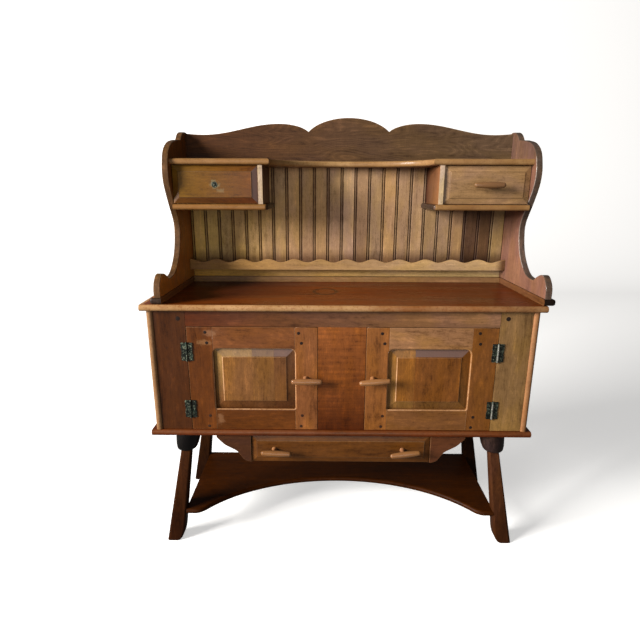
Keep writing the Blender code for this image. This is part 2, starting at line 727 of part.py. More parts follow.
def leg_span(z):
    """The front right leg's X range and Y range at one height below its socket."""
    share = z / SOCKET_LOW
    width = LEG_FOOT_WIDTH + (LEG_TOP_WIDTH - LEG_FOOT_WIDTH) * share
    depth = LEG_FOOT_DEPTH + (LEG_TOP_DEPTH - LEG_FOOT_DEPTH) * share
    x, y = leg_axis(z)
    return (x - width / 2, x + width / 2), (y - depth / 2, y + depth / 2)


def leg_ring(z, inset=0.0):
    """The front right leg's chamfered outline at one height, its inner side moved outwards."""
    (low_x, high_x), (low_y, high_y) = leg_span(z)
    low_x += inset
    cut = LEG_CHAMFER
    outline = (
        (low_x + cut, low_y), (high_x - cut, low_y), (high_x, low_y + cut), (high_x, high_y - cut),
        (high_x - cut, high_y), (low_x + cut, high_y), (low_x, high_y - cut), (low_x, low_y + cut),
    )
    return [(x, y, z) for x, y in outline]


def round_ring(z, radius, faces):
    """A circle round the front right leg's axis at one height."""
    centre_x, centre_y = leg_axis(z)
    start = -math.pi / 2 - math.pi / SMALL_FACES
    return [(centre_x + u, centre_y + v, z) for u, v in circle_points(radius, faces, start)]


def at_corner(point, side, rear):
    """Move a front right leg's point to the leg at another corner."""
    x, y, z = point
    return (side * x, COUNTER_DEPTH - y if rear else y, z)


def leg_rings():
    """The rings of the front right leg, from its foot to the top of its tenon."""
    rings = []
    for height_share in FOOT_ROUND_SHARES:
        drop = 1 - height_share
        inset = FOOT_ROUND_INSET * (1 - math.sqrt(1 - drop ** 2))
        rings.append(leg_ring(FOOT_ROUND_HEIGHT * height_share, inset))
    shoulder = SOCKET_LOW - GAP
    rings.append(leg_ring(shoulder))
    rings.append(round_ring(shoulder, TENON_RADIUS, SMALL_FACES))
    rings.append(round_ring(shoulder + TENON_LENGTH, TENON_RADIUS, SMALL_FACES))
    return rings


def socket_rings():
    """The rings of the front right leg's turned socket, from its lower rim up."""
    turn = math.radians(45)
    cone = (SOCKET_TOP_RADIUS - SOCKET_LOW_RADIUS) / SOCKET_HEIGHT
    profile = (
        (SOCKET_LOW_RADIUS - SOCKET_ROUND, 0.0),
        (SOCKET_LOW_RADIUS - SOCKET_ROUND * (1 - math.sin(turn)), SOCKET_ROUND * (1 - math.cos(turn))),
        (SOCKET_LOW_RADIUS + cone * SOCKET_ROUND, SOCKET_ROUND),
        (SOCKET_TOP_RADIUS, SOCKET_HEIGHT - GAP),
    )
    return [round_ring(SOCKET_LOW + height, radius, ROUND_FACES) for radius, height in profile]


def build_legs(wood, root):
    """Four splayed legs and the turned sockets that hold them under the case."""
    front = leg_span(LOWER_SHELF_RISE)[1][0]
    half = leg_span(LOWER_SHELF_TOP)[0][0] + LOWER_SHELF_HOUSING
    housing = bmesh.new()
    add_block(
        housing, (-half, half), (front - GAP, COUNTER_DEPTH - LOWER_SHELF_REAR_INSET + GAP),
        (LOWER_SHELF_RISE - GAP, LOWER_SHELF_TOP + GAP),
    )
    housing = make_tool("shelf_housing_tool", housing, root)
    mortise = TENON_RADIUS + GAP
    mortise_rings = [
        round_ring(SOCKET_LOW - OVERRUN, mortise, SMALL_FACES),
        round_ring(SOCKET_LOW + TENON_LENGTH, mortise, SMALL_FACES),
    ]
    for rear, place in ((False, "front"), (True, "rear")):
        for side, hand in SIDES:
            spot = "{}_{}".format(place, hand)
            made = []
            for rings in (leg_rings(), socket_rings(), mortise_rings):
                bm = bmesh.new()
                add_loft(bm, [[at_corner(point, side, rear) for point in ring] for ring in rings])
                made.append(bm)
            top = at_corner((LEG_TOP_X, LEG_TOP_Y, LEG_HEIGHT), side, rear)
            leg = make_piece("leg_" + spot, made[0], wood["leg"], root, at=top)
            combine(leg, housing, "DIFFERENCE")
            socket = make_piece("socket_" + spot, made[1], wood["socket"], root, at=top, smooth=True)
            combine(socket, make_tool("mortise_tool_" + spot, made[2], root), "DIFFERENCE")


def build_lower_shelf(wood, root):
    """The shelf housed between the legs, with an arch cut in its front between two lobes."""
    front = leg_span(LOWER_SHELF_RISE)[1][0]
    rear = COUNTER_DEPTH - LOWER_SHELF_REAR_INSET
    end = leg_span(LOWER_SHELF_TOP)[0][0] + LOWER_SHELF_HOUSING - GAP
    full = math.sqrt(1 - (ARCH_HALF_WIDTH / ARCH_FULL_HALF_WIDTH) ** 2)
    round_start = ARCH_HALF_WIDTH - LOBE_ROUND / 2
    half_arch = []
    for step in range(11):
        x = round_start * step / 10
        fall = (math.sqrt(1 - (x / ARCH_FULL_HALF_WIDTH) ** 2) - full) / (1 - full)
        half_arch.append((x, front + ARCH_RISE * fall))
    start = Vector(half_arch[-1])
    corner = Vector((ARCH_HALF_WIDTH, front))
    lobe_end = Vector((min(ARCH_HALF_WIDTH + LOBE_ROUND / 2, (ARCH_HALF_WIDTH + end) / 2), front))
    for step in range(1, 5):
        t = step / 4
        half_arch.append(tuple((1 - t) ** 2 * start + 2 * t * (1 - t) * corner + t ** 2 * lobe_end))
    right = half_arch + [(end, front), (end, rear)]
    outline = right + [(-x, y) for x, y in reversed(right[1:])]
    bm = bmesh.new()
    add_plate(bm, outline, "Z", LOWER_SHELF_RISE, LOWER_SHELF_TOP)
    make_piece("lower_shelf", bm, wood["leg"], root, at=(0.0, rear, LOWER_SHELF_RISE))


def make_drawer_front(name, half, low, height, thickness, border, material, slide):
    """A drawer front with a raised field inside a sloping border."""
    face = FIELD_RISE + FIELD_SHOULDER
    bm = bmesh.new()
    add_block(bm, (-half, half), (face, thickness), (low, low + height))
    raise_field(bm, front_faces(bm), border, FIELD_RISE, FIELD_SHOULDER)
    make_piece(name, bm, material, slide)


def make_drawer_box(name, half, y, low, height, wood, slide):
    """The drawer's sides, back and bottom, glued up behind its front."""
    box = make_board(name, (-half, half), y, (low, low + height), wood["inside"], slide)
    inner = half - DRAWER_WALL
    hollow = bmesh.new()
    add_block(
        hollow, (-inner, inner), (y[0] - OVERRUN, y[1] - DRAWER_WALL),
        (low + DRAWER_BOTTOM, low + height + OVERRUN),
    )
    combine(box, make_tool(name + "_hollow", hollow, slide), "DIFFERENCE")


def build_lower_drawer(wood, root):
    """The drawer under the case with its runners and the ogee brackets beside its front."""
    slide = make_empty("lower_drawer_slide", (0.0, LOWER_DRAWER_FACE, LOWER_FRONT_LOW), root)
    half = LOWER_FRONT_WIDTH / 2
    make_drawer_front(
        "lower_drawer_front", half, 0.0, LOWER_FRONT_HEIGHT, LOWER_FRONT_THICKNESS, LOWER_BORDER,
        wood["case"], slide,
    )
    box_y = (LOWER_FRONT_THICKNESS + GAP, LOWER_FRONT_THICKNESS + LOWER_DRAWER_DEPTH)
    make_drawer_box(
        "lower_drawer_box", LOWER_BOX_HALF, box_y, LOWER_SIDE_LOW - LOWER_FRONT_LOW, LOWER_SIDE_HEIGHT,
        wood, slide,
    )
    pulls = (("left", LEFT_PULL_X, LEFT_PULL_TILT), ("right", RIGHT_PULL_X, RIGHT_PULL_TILT))
    for hand, x, tilt in pulls:
        make_pull("lower_drawer_pull_" + hand, (x, 0.0, LOWER_PULL_RISE), tilt, pull_shank(), wood, slide)

    ledge_top = LOWER_SIDE_LOW - GAP
    ledge_low = ledge_top - RUNNER_LEDGE_HEIGHT
    top = LEG_HEIGHT - GAP
    web = RUNNER_OUTER - RUNNER_WEB
    start = LOWER_DRAWER_FACE + LOWER_FRONT_THICKNESS + REVEAL
    for side, hand in SIDES:
        profile = (
            (RUNNER_OUTER, top), (RUNNER_OUTER, ledge_low), (web - RUNNER_LEDGE, ledge_low),
            (web - RUNNER_LEDGE, ledge_top), (web, ledge_top), (web, top),
        )
        bm = bmesh.new()
        add_plate(bm, [(side * x, z) for x, z in profile], "Y", start, start + LOWER_DRAWER_DEPTH)
        make_piece("runner_" + hand, bm, wood["inside"], root, at=(side * RUNNER_OUTER, start, top))

    inner = half + REVEAL
    controls = []
    for along, down in BRACKET_OUTLINE_SHARES:
        controls.append((inner + BRACKET_LENGTH * along, top - BRACKET_HEIGHT * down))
    outline = [
        (inner, top), (inner + BRACKET_LENGTH, top), *smooth_curve(controls, 3),
        (inner, top - BRACKET_HEIGHT),
    ]
    for side, hand in SIDES:
        bm = bmesh.new()
        add_plate(
            bm, [(side * x, z) for x, z in outline], "Y", LOWER_DRAWER_FACE,
            LOWER_DRAWER_FACE + BRACKET_THICKNESS,
        )
        make_piece("bracket_" + hand, bm, wood["case"], root, at=(side * inner, LOWER_DRAWER_FACE, top))


def build_hutch_sides(wood, hutch):
    """The hutch's two scrolled sides."""
    depth = HUTCH_REAR - HUTCH_FRONT
    low = SHOE_HEIGHT + GAP

    def placed(shares):
        return [(HUTCH_FRONT + depth * along, low + HUTCH_SIDE_HEIGHT * up) for along, up in shares]

    scroll = smooth_curve(placed(FOOT_SCROLL_SHARES), 2)
    sweep = smooth_curve(placed(SIDE_SWEEP_SHARES), 2)
    outline = [*scroll, *sweep, *placed(EAR_SHARES), (HUTCH_REAR, low)]
    for side, hand in SIDES:
        bm = bmesh.new()
        add_plate(bm, outline, "X", side * HUTCH_INNER, side * HUTCH_OUTER)
        make_piece("hutch_side_" + hand, bm, wood["hutch"], hutch, at=(side * HUTCH_INNER, HUTCH_REAR, low))


def build_hutch_base(wood, hutch):
    """The shoes under the sides with their rear rail, the riser, the ledge and the gallery rail."""
    outer = HUTCH_OUTER + SHOE_OVERHANG
    inner = HUTCH_INNER - SHOE_LIP
    front = HUTCH_FRONT - SHOE_NOSE
    rail_front = HUTCH_REAR - BASE_RAIL_DEPTH
    outline = [
        (-outer, HUTCH_REAR), (-outer, front), (-inner, front), (-inner, rail_front),
        (inner, rail_front), (inner, front), (outer, front), (outer, HUTCH_REAR),
    ]
    base = bmesh.new()
    add_plate(base, outline, "Z", GAP, SHOE_HEIGHT)
    level = [edge for edge in base.edges if not upright(edge)]
    round_edges(base, [edge for edge in level if middle(edge).y < HUTCH_FRONT], SHOE_ROUND)
    make_piece("hutch_base_frame", base, wood["hutch"], hutch)

    across = (-BETWEEN_SIDES, BETWEEN_SIDES)
    make_board(
        "riser_board", across, (BEAD_FACE, BEAD_FACE + RISER_THICKNESS),
        (SHOE_HEIGHT + GAP, RISER_TOP - GAP), wood["bead"], hutch,
    )
    make_board(
        "spice_ledge", across, (LEDGE_FRONT, BEAD_FACE + RISER_THICKNESS), (RISER_TOP, LEDGE_TOP),
        wood["bead"], hutch,
    )
    steps = GALLERY_WAVES * WAVE_STEPS
    crest = []
    for step in range(steps + 1):
        share = step / steps
        wave = GALLERY_WAVE * math.cos(2 * math.pi * GALLERY_WAVES * (share - 1 / 2))
        crest.append((BETWEEN_SIDES * (1 - 2 * share), RISER_TOP + GALLERY_HEIGHT + wave))
    rear = LEDGE_FRONT - GAP
    bm = bmesh.new()
    outline = [(-BETWEEN_SIDES, RISER_TOP), (BETWEEN_SIDES, RISER_TOP), *crest]
    add_plate(bm, outline, "Y", rear - GALLERY_THICKNESS, rear)
    make_piece("scalloped_rail", bm, wood["bead"], hutch, at=(0.0, rear, RISER_TOP))


def build_beadboard_back(wood, hutch):
    """The beaded boards that close the hutch's back, as the one panel that they make."""
    pitch = 2 * BETWEEN_SIDES / BOARD_COUNT
    valley = BEAD_FACE + BEAD_GROOVE
    outline = [(-BETWEEN_SIDES, BEAD_FACE + BEAD_THICKNESS), (-BETWEEN_SIDES, BEAD_FACE)]
    for index in range(BOARD_COUNT):
        left = -BETWEEN_SIDES + pitch * index
        grooves = (left, left + BEAD_WIDTH) if index else (left + BEAD_WIDTH,)
        for x in grooves:
            outline += [(x - BEAD_QUIRK / 2, BEAD_FACE), (x, valley), (x + BEAD_QUIRK / 2, BEAD_FACE)]
    outline += [(BETWEEN_SIDES, BEAD_FACE), (BETWEEN_SIDES, BEAD_FACE + BEAD_THICKNESS)]
    bm = bmesh.new()
    add_plate(bm, outline, "Z", LEDGE_TOP + GAP, SHELF_TOP)
    make_piece("beadboard_back", bm, wood["bead"], hutch, at=(0.0, BEAD_FACE, LEDGE_TOP))


def crest_height(x):
    """The crest board's height above the top shelf at one distance from its middle."""
    if x < CREST_CUSP:
        return CREST_HUMP - CREST_HUMP_DEPTH * (1 - math.sqrt(1 - (x / CREST_HUMP_WIDTH) ** 2))
    if x < CREST_SHOULDER_X:
        away = (CREST_SHOULDER_X - x) / CREST_SHOULDER_WIDTH
        return CREST_SHOULDER - CREST_SHOULDER_DEPTH * (1 - math.sqrt(1 - away ** 2))
    if x < CREST_VALLEY_X:
        turn = math.pi * (x - CREST_SHOULDER_X) / (CREST_VALLEY_X - CREST_SHOULDER_X)
        return (CREST_SHOULDER + CREST_VALLEY) / 2 + (CREST_SHOULDER - CREST_VALLEY) / 2 * math.cos(turn)
    run = (x - CREST_VALLEY_X) / (HUTCH_INNER - CREST_VALLEY_X)
    return CREST_VALLEY + CREST_EAR_RISE * run ** 2


def build_crest(wood, hutch):
    """The shaped crest board on top of the hutch's back."""
    stretches = (
        (0.0, CREST_CUSP, 7), (CREST_CUSP, CREST_SHOULDER_X, 6), (CREST_SHOULDER_X, CREST_VALLEY_X, 8),
        (CREST_VALLEY_X, BETWEEN_SIDES, 2),
    )
    places = [low + (high - low) * step / steps for low, high, steps in stretches for step in range(steps)]
    half = [(x, SHELF_TOP + crest_height(x)) for x in [*places, BETWEEN_SIDES]]
    floor = SHELF_TOP + GAP
    outline = [
        *half, (BETWEEN_SIDES, floor), (-BETWEEN_SIDES, floor), *[(-x, z) for x, z in reversed(half[1:])],
    ]
    bm = bmesh.new()
    add_plate(bm, outline, "Y", HUTCH_REAR - CREST_THICKNESS, HUTCH_REAR)
    make_piece("crest_board", bm, wood["crest"], hutch, at=(0.0, HUTCH_REAR, SHELF_TOP))


def build_top_shelf(wood, hutch):
    """The top shelf, whose front is cut back in a curve between the two drawers."""
    recess = []
    for step in range(17):
        turn = math.pi * step / 16
        recess.append((RECESS_HALF_WIDTH * math.cos(turn), TOP_SHELF_FRONT + RECESS_DEPTH * math.sin(turn)))
    outline = [
        (-BETWEEN_SIDES, TOP_SHELF_FRONT), (-BETWEEN_SIDES, SHELF_REAR), (BETWEEN_SIDES, SHELF_REAR),
        (BETWEEN_SIDES, TOP_SHELF_FRONT), *recess,
    ]
    bm = bmesh.new()
    add_plate(bm, outline, "Z", SHELF_UNDERSIDE, SHELF_TOP)
    make_piece("top_shelf", bm, wood["hutch"], hutch, at=(0.0, SHELF_REAR, SHELF_UNDERSIDE))


def build_drawer_carriers(wood, hutch):
    """The board under each upper drawer and the divider beside it."""
    free_end = DIVIDER_INNER - CARRIER_OVERHANG
    for side, hand in SIDES:
        corner = []
        for step in range(4):
            turn = math.pi / 2 * step / 3
            corner.append((
                free_end + CARRIER_CORNER * (1 - math.cos(turn)),
                TOP_SHELF_FRONT + CARRIER_CORNER * (1 - math.sin(turn)),
            ))
        outline = [
            *corner, (BETWEEN_SIDES, TOP_SHELF_FRONT), (BETWEEN_SIDES, SHELF_REAR), (free_end, SHELF_REAR),
        ]
        bm = bmesh.new()
        add_plate(bm, [(side * x, y) for x, y in outline], "Z", BAY_HEIGHT, CARRIER_TOP)
        make_piece(
            "drawer_board_" + hand, bm, wood["hutch"], hutch, at=(side * free_end, SHELF_REAR, BAY_HEIGHT),
        )
        make_board(
            "divider_" + hand, (side * DIVIDER_INNER, side * DIVIDER_OUTER), (DIVIDER_FRONT, SHELF_REAR),
            (CARRIER_TOP + GAP, SHELF_UNDERSIDE - GAP), wood["hutch"], hutch,
        )


def build_upper_drawers(wood, hutch):
    """The two small drawers under the top shelf; only the right one still has its pull."""
    half = UPPER_OPENING_WIDTH / 2 - REVEAL
    height = UPPER_OPENING_HEIGHT - 2 * REVEAL
    for side, hand in SIDES:
        prefix = "upper_" + hand
        slide = make_empty(
            prefix + "_drawer_slide", (side * UPPER_DRAWER_X, UPPER_DRAWER_FACE, CARRIER_TOP + GAP), hutch,
        )
        make_drawer_front(
            prefix + "_drawer_front", half, REVEAL, height, UPPER_FRONT_THICKNESS, UPPER_BORDER,
            wood["hutch"], slide,
        )
        box_y = (UPPER_FRONT_THICKNESS + GAP, UPPER_DRAWER_DEPTH)
        make_drawer_box(
            prefix + "_drawer_box", half - UPPER_SIDE_SETBACK, box_y, 0.0, UPPER_SIDE_HEIGHT, wood, slide,
        )
        if side > 0:
            make_pull(prefix + "_pull", (0.0, 0.0, REVEAL + height / 2), 0.0, pull_shank(), wood, slide)


def build_cabinet():
    """Build every piece of the cabinet."""
    clear_scene()
    wood = {
        "case": make_material("case_maple", (0.36, 0.15, 0.05), 0.38),
        "door": make_material("door_maple", (0.34, 0.15, 0.055), 0.38),
        "counter": make_material("counter_maple", (0.27, 0.09, 0.03), 0.32),
        "hutch": make_material("hutch_maple", (0.33, 0.15, 0.06), 0.40),
        "bead": make_material("beadboard_maple", (0.38, 0.22, 0.09), 0.45),
        "crest": make_material("crest_maple", (0.16, 0.08, 0.035), 0.45),
        "leg": make_material("leg_maple", (0.18, 0.07, 0.025), 0.40),
        "socket": make_material("socket_dark", (0.02, 0.015, 0.02), 0.45),
        "pull": make_material("pull_maple", (0.50, 0.24, 0.11), 0.30),
        "inside": make_material("inside_maple", (0.42, 0.27, 0.14), 0.60),
        "bronze": make_material("hinge_bronze", (0.10, 0.11, 0.06), 0.45, 0.8),
    }
    root = make_empty("cabinet_origin", (
        -(FOOTPRINT_LEFT + FOOTPRINT_RIGHT) / 2, -(FOOTPRINT_FRONT + COUNTER_DEPTH) / 2, 0.0,
    ))
    hutch = make_empty("hutch_origin", (HUTCH_SHIFT, 0.0, COUNTER_TOP), root)
    build_case(wood, root)
    build_face_frame(wood, root)
    build_doors(wood, root)
    build_legs(wood, root)
    build_lower_shelf(wood, root)
    build_lower_drawer(wood, root)
    build_hutch_sides(wood, hutch)
    build_hutch_base(wood, hutch)
    build_beadboard_back(wood, hutch)
    build_crest(wood, hutch)
    build_top_shelf(wood, hutch)
    build_drawer_carriers(wood, hutch)
    build_upper_drawers(wood, hutch)


build_cabinet()
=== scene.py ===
"""Bakers cabinet: the boards, doors, drawers, legs and iron fittings over the cabinet's solids."""

import json
import math
import random

import bmesh
import bpy
from mathutils import Matrix, Vector


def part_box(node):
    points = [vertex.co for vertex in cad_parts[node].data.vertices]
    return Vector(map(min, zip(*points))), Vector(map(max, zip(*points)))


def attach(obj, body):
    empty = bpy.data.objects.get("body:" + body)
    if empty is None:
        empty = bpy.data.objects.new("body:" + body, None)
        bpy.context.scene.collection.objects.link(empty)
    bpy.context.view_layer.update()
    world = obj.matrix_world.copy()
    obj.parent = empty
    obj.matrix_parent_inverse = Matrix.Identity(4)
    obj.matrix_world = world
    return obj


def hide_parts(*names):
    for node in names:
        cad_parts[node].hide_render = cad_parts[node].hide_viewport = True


bl_info = {
    "name": "Bakers Cabinet",
    "version": (1, 0, 0),
    "blender": (4, 5, 0),
    "location": "View3D > Sidebar > Cabinet",
    "description": "Dresses a bakers cabinet in boards, mouldings and iron fittings",
    "category": "Object",
}

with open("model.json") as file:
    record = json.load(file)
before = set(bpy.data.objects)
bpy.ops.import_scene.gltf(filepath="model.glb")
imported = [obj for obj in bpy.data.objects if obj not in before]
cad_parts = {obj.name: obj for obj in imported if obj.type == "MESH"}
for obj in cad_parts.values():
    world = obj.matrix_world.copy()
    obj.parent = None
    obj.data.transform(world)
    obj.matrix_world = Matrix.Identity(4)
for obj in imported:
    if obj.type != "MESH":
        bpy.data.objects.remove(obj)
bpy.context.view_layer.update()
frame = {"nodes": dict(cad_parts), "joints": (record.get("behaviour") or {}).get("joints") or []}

X, Y, Z = range(3)
SIDES = ((-1, "left"), (1, "right"))
ACROSS, UPWARDS, FRONT_TO_BACK = 0.0, 1.0, 2.0
UNTINTED = (1.0, 1.0, 1.0)
TINY = 1e-6

# How each board's stain differs from the colour of its finish. The tints also carry painted light and shade:
# boards in shade, such as the riser under the ledge and the left hutch side, are painted lighter, and boards in
# strong light darker.
TINTS = {
    "counter_front": (0.96, 0.60, 0.13), "counter_middle": (0.88, 0.50, 0.08),
    "counter_rear": (0.70, 0.38, 0.10), "case_left": (0.62, 0.60, 0.62),
    "case_right": (0.95, 0.85, 0.90), "case_floor": (0.46, 0.24, 0.08),
    "stile_left": (0.26, 0.19, 0.08), "stile_right": (0.90, 1.30, 1.29),
    "top_rail": (0.72, 0.70, 0.64), "middle_board": (0.70, 0.48, 0.11),
    "left_hinge_stile": (0.44, 0.31, 0.11), "left_latch_stile": (0.91, 0.82, 0.64),
    "left_door_top": (0.70, 0.60, 0.46), "left_door_bottom": (0.43, 0.31, 0.10),
    "right_latch_stile": (1.04, 0.96, 0.62), "right_hinge_stile": (0.67, 0.61, 0.33),
    "right_door_top": (1.26, 1.57, 1.82), "right_door_bottom": (0.72, 0.73, 0.57),
    "left_panel_first": (0.83, 0.89, 0.70), "left_panel_second": (0.75, 0.82, 0.67),
    "left_panel_third": (0.68, 0.69, 0.57), "right_panel_first": (0.92, 0.88, 0.44),
    "right_panel_second": (0.71, 0.62, 0.31), "lower_drawer": (0.48, 0.43, 0.20),
    "bracket_left": (0.25, 0.22, 0.24), "bracket_right": (0.44, 0.38, 0.36),
    "leg_front_left": (0.28, 0.18, 0.09), "leg_front_right": (0.46, 0.36, 0.33),
    "leg_rear": (0.21, 0.15, 0.09), "socket_left": (0.07, 0.07, 0.07),
    "socket_right": (0.70, 0.55, 0.53), "lower_shelf": (0.33, 0.18, 0.012),
    "hutch_left": (1.25, 0.98, 0.42), "hutch_right": (0.66, 0.70, 1.30),
    "shoe_left": (1.15, 0.95, 0.80), "shoe_right": (0.50, 0.42, 0.42),
    "rear_rail": (0.95, 1.05, 1.10), "riser": (2.49, 2.79, 2.32), "ledge": (0.70, 0.66, 0.60),
    "gallery": (1.54, 1.68, 1.75), "crest": (0.63, 0.51, 0.31), "top_shelf": (0.80, 0.75, 0.65),
    "drawer_shelf_left": (0.61, 0.50, 0.28), "drawer_shelf_right": (0.75, 0.67, 0.72),
    "divider": (0.43, 0.29, 0.30), "upper_left_drawer": (0.48, 0.40, 0.10),
    "upper_right_drawer": (1.17, 1.43, 1.85), "back_boards": (1.40, 1.48, 1.77),
}
PULL_TINTS = {"upper_right_drawer": (0.78, 0.86, 0.95), "lower_drawer": (0.80, 0.78, 0.66)}

# The lumber's noises: scale, detail, roughness, and stretch along and across the grain.
GRAIN_NOISES = {
    "streak": (5.0, 5.0, 0.62, 1.1, 20.0), "band": (4.0, 2.0, 0.55, 0.5, 6.0),
    "fibre": (5.0, 2.0, 0.55, 5.0, 130.0), "blotch": (2.2, 2.0, 0.45, 2.2, 8.0),
    "curl": (1.6, 1.0, 0.55, 100.0, 5.0), "warp": (2.0, 2.0, 0.55, 1.0, 6.0),
    "mottle": (4.0, 4.0, 0.65, 9.0, 17.0), "speckle": (4.0, 2.0, 0.6, 60.0, 150.0),
    "drift": (2.6, 3.0, 0.5, 2.6, 7.0), "fleck": (6.0, 1.0, 0.55, 14.0, 60.0),
}
RING_WAVE = 1150.0

# Spots: centre, reach, whether it is a ring, strength and colour.
COUNTER_SPOTS = (
    ((-0.063, 0.004, 0.836), (0.042, 0.054, 0.05), 1.0, 1.0, (0.036, 0.006, 0.001)),
    ((-0.055, -0.010, 0.836), (0.090, 0.080, 0.05), 0.0, 0.14, (0.32, 0.11, 0.03)),
    ((0.393, -0.089, 0.836), (0.035, 0.030, 0.05), 1.0, 0.45, (0.10, 0.024, 0.008)),
)
DOOR_SPOTS = (
    ((-0.410, -0.187, 0.745), (0.028, 0.05, 0.014), 0.0, 0.42, (0.30, 0.15, 0.075)),
    ((-0.396, -0.187, 0.458), (0.014, 0.05, 0.024), 0.0, 0.38, (0.30, 0.15, 0.07)),
    ((-0.434, -0.187, 0.713), (0.026, 0.05, 0.012), 0.0, 0.40, (0.30, 0.15, 0.06)),
)
SCREW_SPOTS = (
    ((-0.4172, -0.0073, 1.1835), (0.020, 0.05, 0.016), 0.0, 0.45, (0.20, 0.21, 0.12)),
    ((-0.398, -0.0073, 1.166), (0.018, 0.05, 0.008), 0.0, 0.22, (0.26, 0.24, 0.14)),
)


def length(name, description, default):
    """A length that can be changed in the sidebar."""
    return bpy.props.FloatProperty(
        name=name, description=description, default=default, min=0.0, precision=4, unit="LENGTH",
    )


def colour(name, description, default):
    """A colour that can be changed in the sidebar."""
    return bpy.props.FloatVectorProperty(
        name=name, description=description, default=default, min=0.0, max=1.0, size=3, subtype="COLOR",
    )


class CabinetSizes(bpy.types.PropertyGroup):
    """Sizes of the joinery's small details."""
    arris: length("Softened edge", "Width of the softened edge of a board", 0.0010)
    nosing: length("Nosing", "Radius of the counter's and the case floor's rounded front edge", 0.0085)
    joint: length("Joint line", "Width of the open line between two joined boards", 0.0004)
    sticking: length("Sticking", "Width of the rounded edge round a door's panel", 0.0050)
    hinge_stile: length("Hinge stile", "Width of a door's stile at its hinges", 0.079)
    latch_stile: length("Latch stile", "Width of a door's stile at its pull", 0.070)
    top_rail: length("Door top rail", "Height of a door's top rail", 0.070)
    bottom_rail: length("Door bottom rail", "Height of a door's bottom rail", 0.0705)
    panel_border: length("Panel border", "Width of the slope round a door panel's field", 0.027)
    drawer_border: length("Drawer border", "Width of the slope round a drawer's field", 0.018)
    bead: length("Bead", "Width of the bead on each board of the back", 0.0086)
    groove: length("Groove", "Half the width of the grooves beside the bead", 0.0023)
    door_peg: length("Door peg", "Radius of the pegs in the doors' joints", 0.0050)
    face_peg: length("Face peg", "Radius of the pegs in the face frame", 0.0070)
    nail: length("Nail head", "Radius of the hinges' nail heads", 0.0019)
    pull_swell: length("Pull swell", "Radius of a pull's bar at its middle", 0.0100)
    pull_end: length("Pull end", "Radius of a pull's bar at its ends", 0.0078)
    socket_round: length("Socket round", "Rounding of a leg socket's lower rim", 0.0125)


class CabinetColours(bpy.types.PropertyGroup):
    """Stains and finishes."""
    case: colour("Case", "Stain of the case and the face frame", (0.205, 0.076, 0.026))
    door: colour("Doors", "Stain of the doors", (0.205, 0.078, 0.026))
    counter: colour("Counter", "Stain of the counter", (0.150, 0.046, 0.011))
    hutch: colour("Hutch", "Stain of the hutch's sides, shelf and drawers", (0.220, 0.102, 0.038))
    bead: colour("Back boards", "Stain of the beaded boards", (0.235, 0.132, 0.055))
    crest: colour("Crest", "Stain of the crest board", (0.115, 0.060, 0.030))
    leg: colour("Legs", "Stain of the legs and the lower shelf", (0.095, 0.040, 0.015))
    nose: colour("Worn edges", "Honey colour of rubbed edges and nosings", (0.400, 0.215, 0.085))
    end: colour("End grain", "Nearly black stain of end grain", (0.022, 0.014, 0.011))
    pull: colour("Pulls", "Polished wood of the pulls", (0.235, 0.105, 0.042))
    raw: colour("Bare wood", "Unstained wood inside the drawers and the case", (0.420, 0.270, 0.140))
    iron: colour("Hinges", "Bronzed iron of the hinges", (0.032, 0.038, 0.028))


def sizes():
    """The sizes that the sidebar shows."""
    return bpy.context.scene.cabinet_sizes


def colours():
    """The colours that the sidebar shows."""
    return bpy.context.scene.cabinet_colours


# ---- shader nodes

class Value:
    """A number or a colour in a shader tree. Arithmetic on it adds the nodes that work it out."""

    def __init__(self, tree, socket):
        self.tree = tree
        self.socket = socket

    def step(self, operation, other=0.0):
        """One step of arithmetic."""
        made = add(self.tree, "ShaderNodeMath", {0: self, 1: other}, operation=operation)
        return Value(self.tree, made.outputs[0])

    def between(self, low, high, to_low=0.0, to_high=1.0):
        """Fade smoothly from one level to another."""
        levels = {0: self, 1: low, 2: high, 3: to_low, 4: to_high}
        made = add(self.tree, "ShaderNodeMapRange", levels, interpolation_type="SMOOTHSTEP")
        return Value(self.tree, made.outputs[0])

    def __add__(self, other):
        return self.step("ADD", other)

    def __sub__(self, other):
        return self.step("SUBTRACT", other)

    def __mul__(self, other):
        return self.step("MULTIPLY", other)


def feed(tree, node, inputs):
    """Give a node's sockets links or constants. A colour may leave out its alpha."""
    for key, value in inputs.items():
        if isinstance(value, Value):
            value = value.socket
        if isinstance(value, bpy.types.NodeSocket):
            tree.links.new(value, node.inputs[key])
        elif node.inputs[key].type == "RGBA":
            node.inputs[key].default_value = (*value[:3], 1.0)
        else:
            node.inputs[key].default_value = value


def add(tree, kind, inputs=None, **settings):
    """Add a node, set it up, and feed its sockets."""
    made = tree.nodes.new(kind)
    for key, value in settings.items():
        setattr(made, key, value)
    feed(tree, made, inputs or {})
    return made


def mix(tree, share, first, second, blend="MIX"):
    """Mix two colours."""
    made = add(tree, "ShaderNodeMix", {0: share}, data_type="RGBA", blend_type=blend)
    feed(tree, made, {6: first, 7: second})
    return Value(tree, made.outputs[2])


def mix_places(tree, share, first, second):
    """Mix two vectors."""
    return add(tree, "ShaderNodeMix", {0: share, 4: first, 5: second}, data_type="VECTOR").outputs[1]


def vector_step(tree, operation, inputs, output=0):
    """One step of arithmetic on vectors."""
    return add(tree, "ShaderNodeVectorMath", inputs, operation=operation).outputs[output]


def noise(tree, place, scale, detail=3.0, roughness=0.55, along=1.0, across=1.0):
    """Noise that may be stretched along the grain."""
    stretched = vector_step(tree, "MULTIPLY", {0: place, 1: (along, across, across)})
    made = add(
        tree, "ShaderNodeTexNoise",
        {"Vector": stretched, "Scale": scale, "Detail": detail, "Roughness": roughness},
    )
    return Value(tree, made.outputs["Fac"])


def attribute(tree, name, output="Fac"):
    """A board's own stored value."""
    return Value(tree, add(tree, "ShaderNodeAttribute", attribute_name=name).outputs[output])


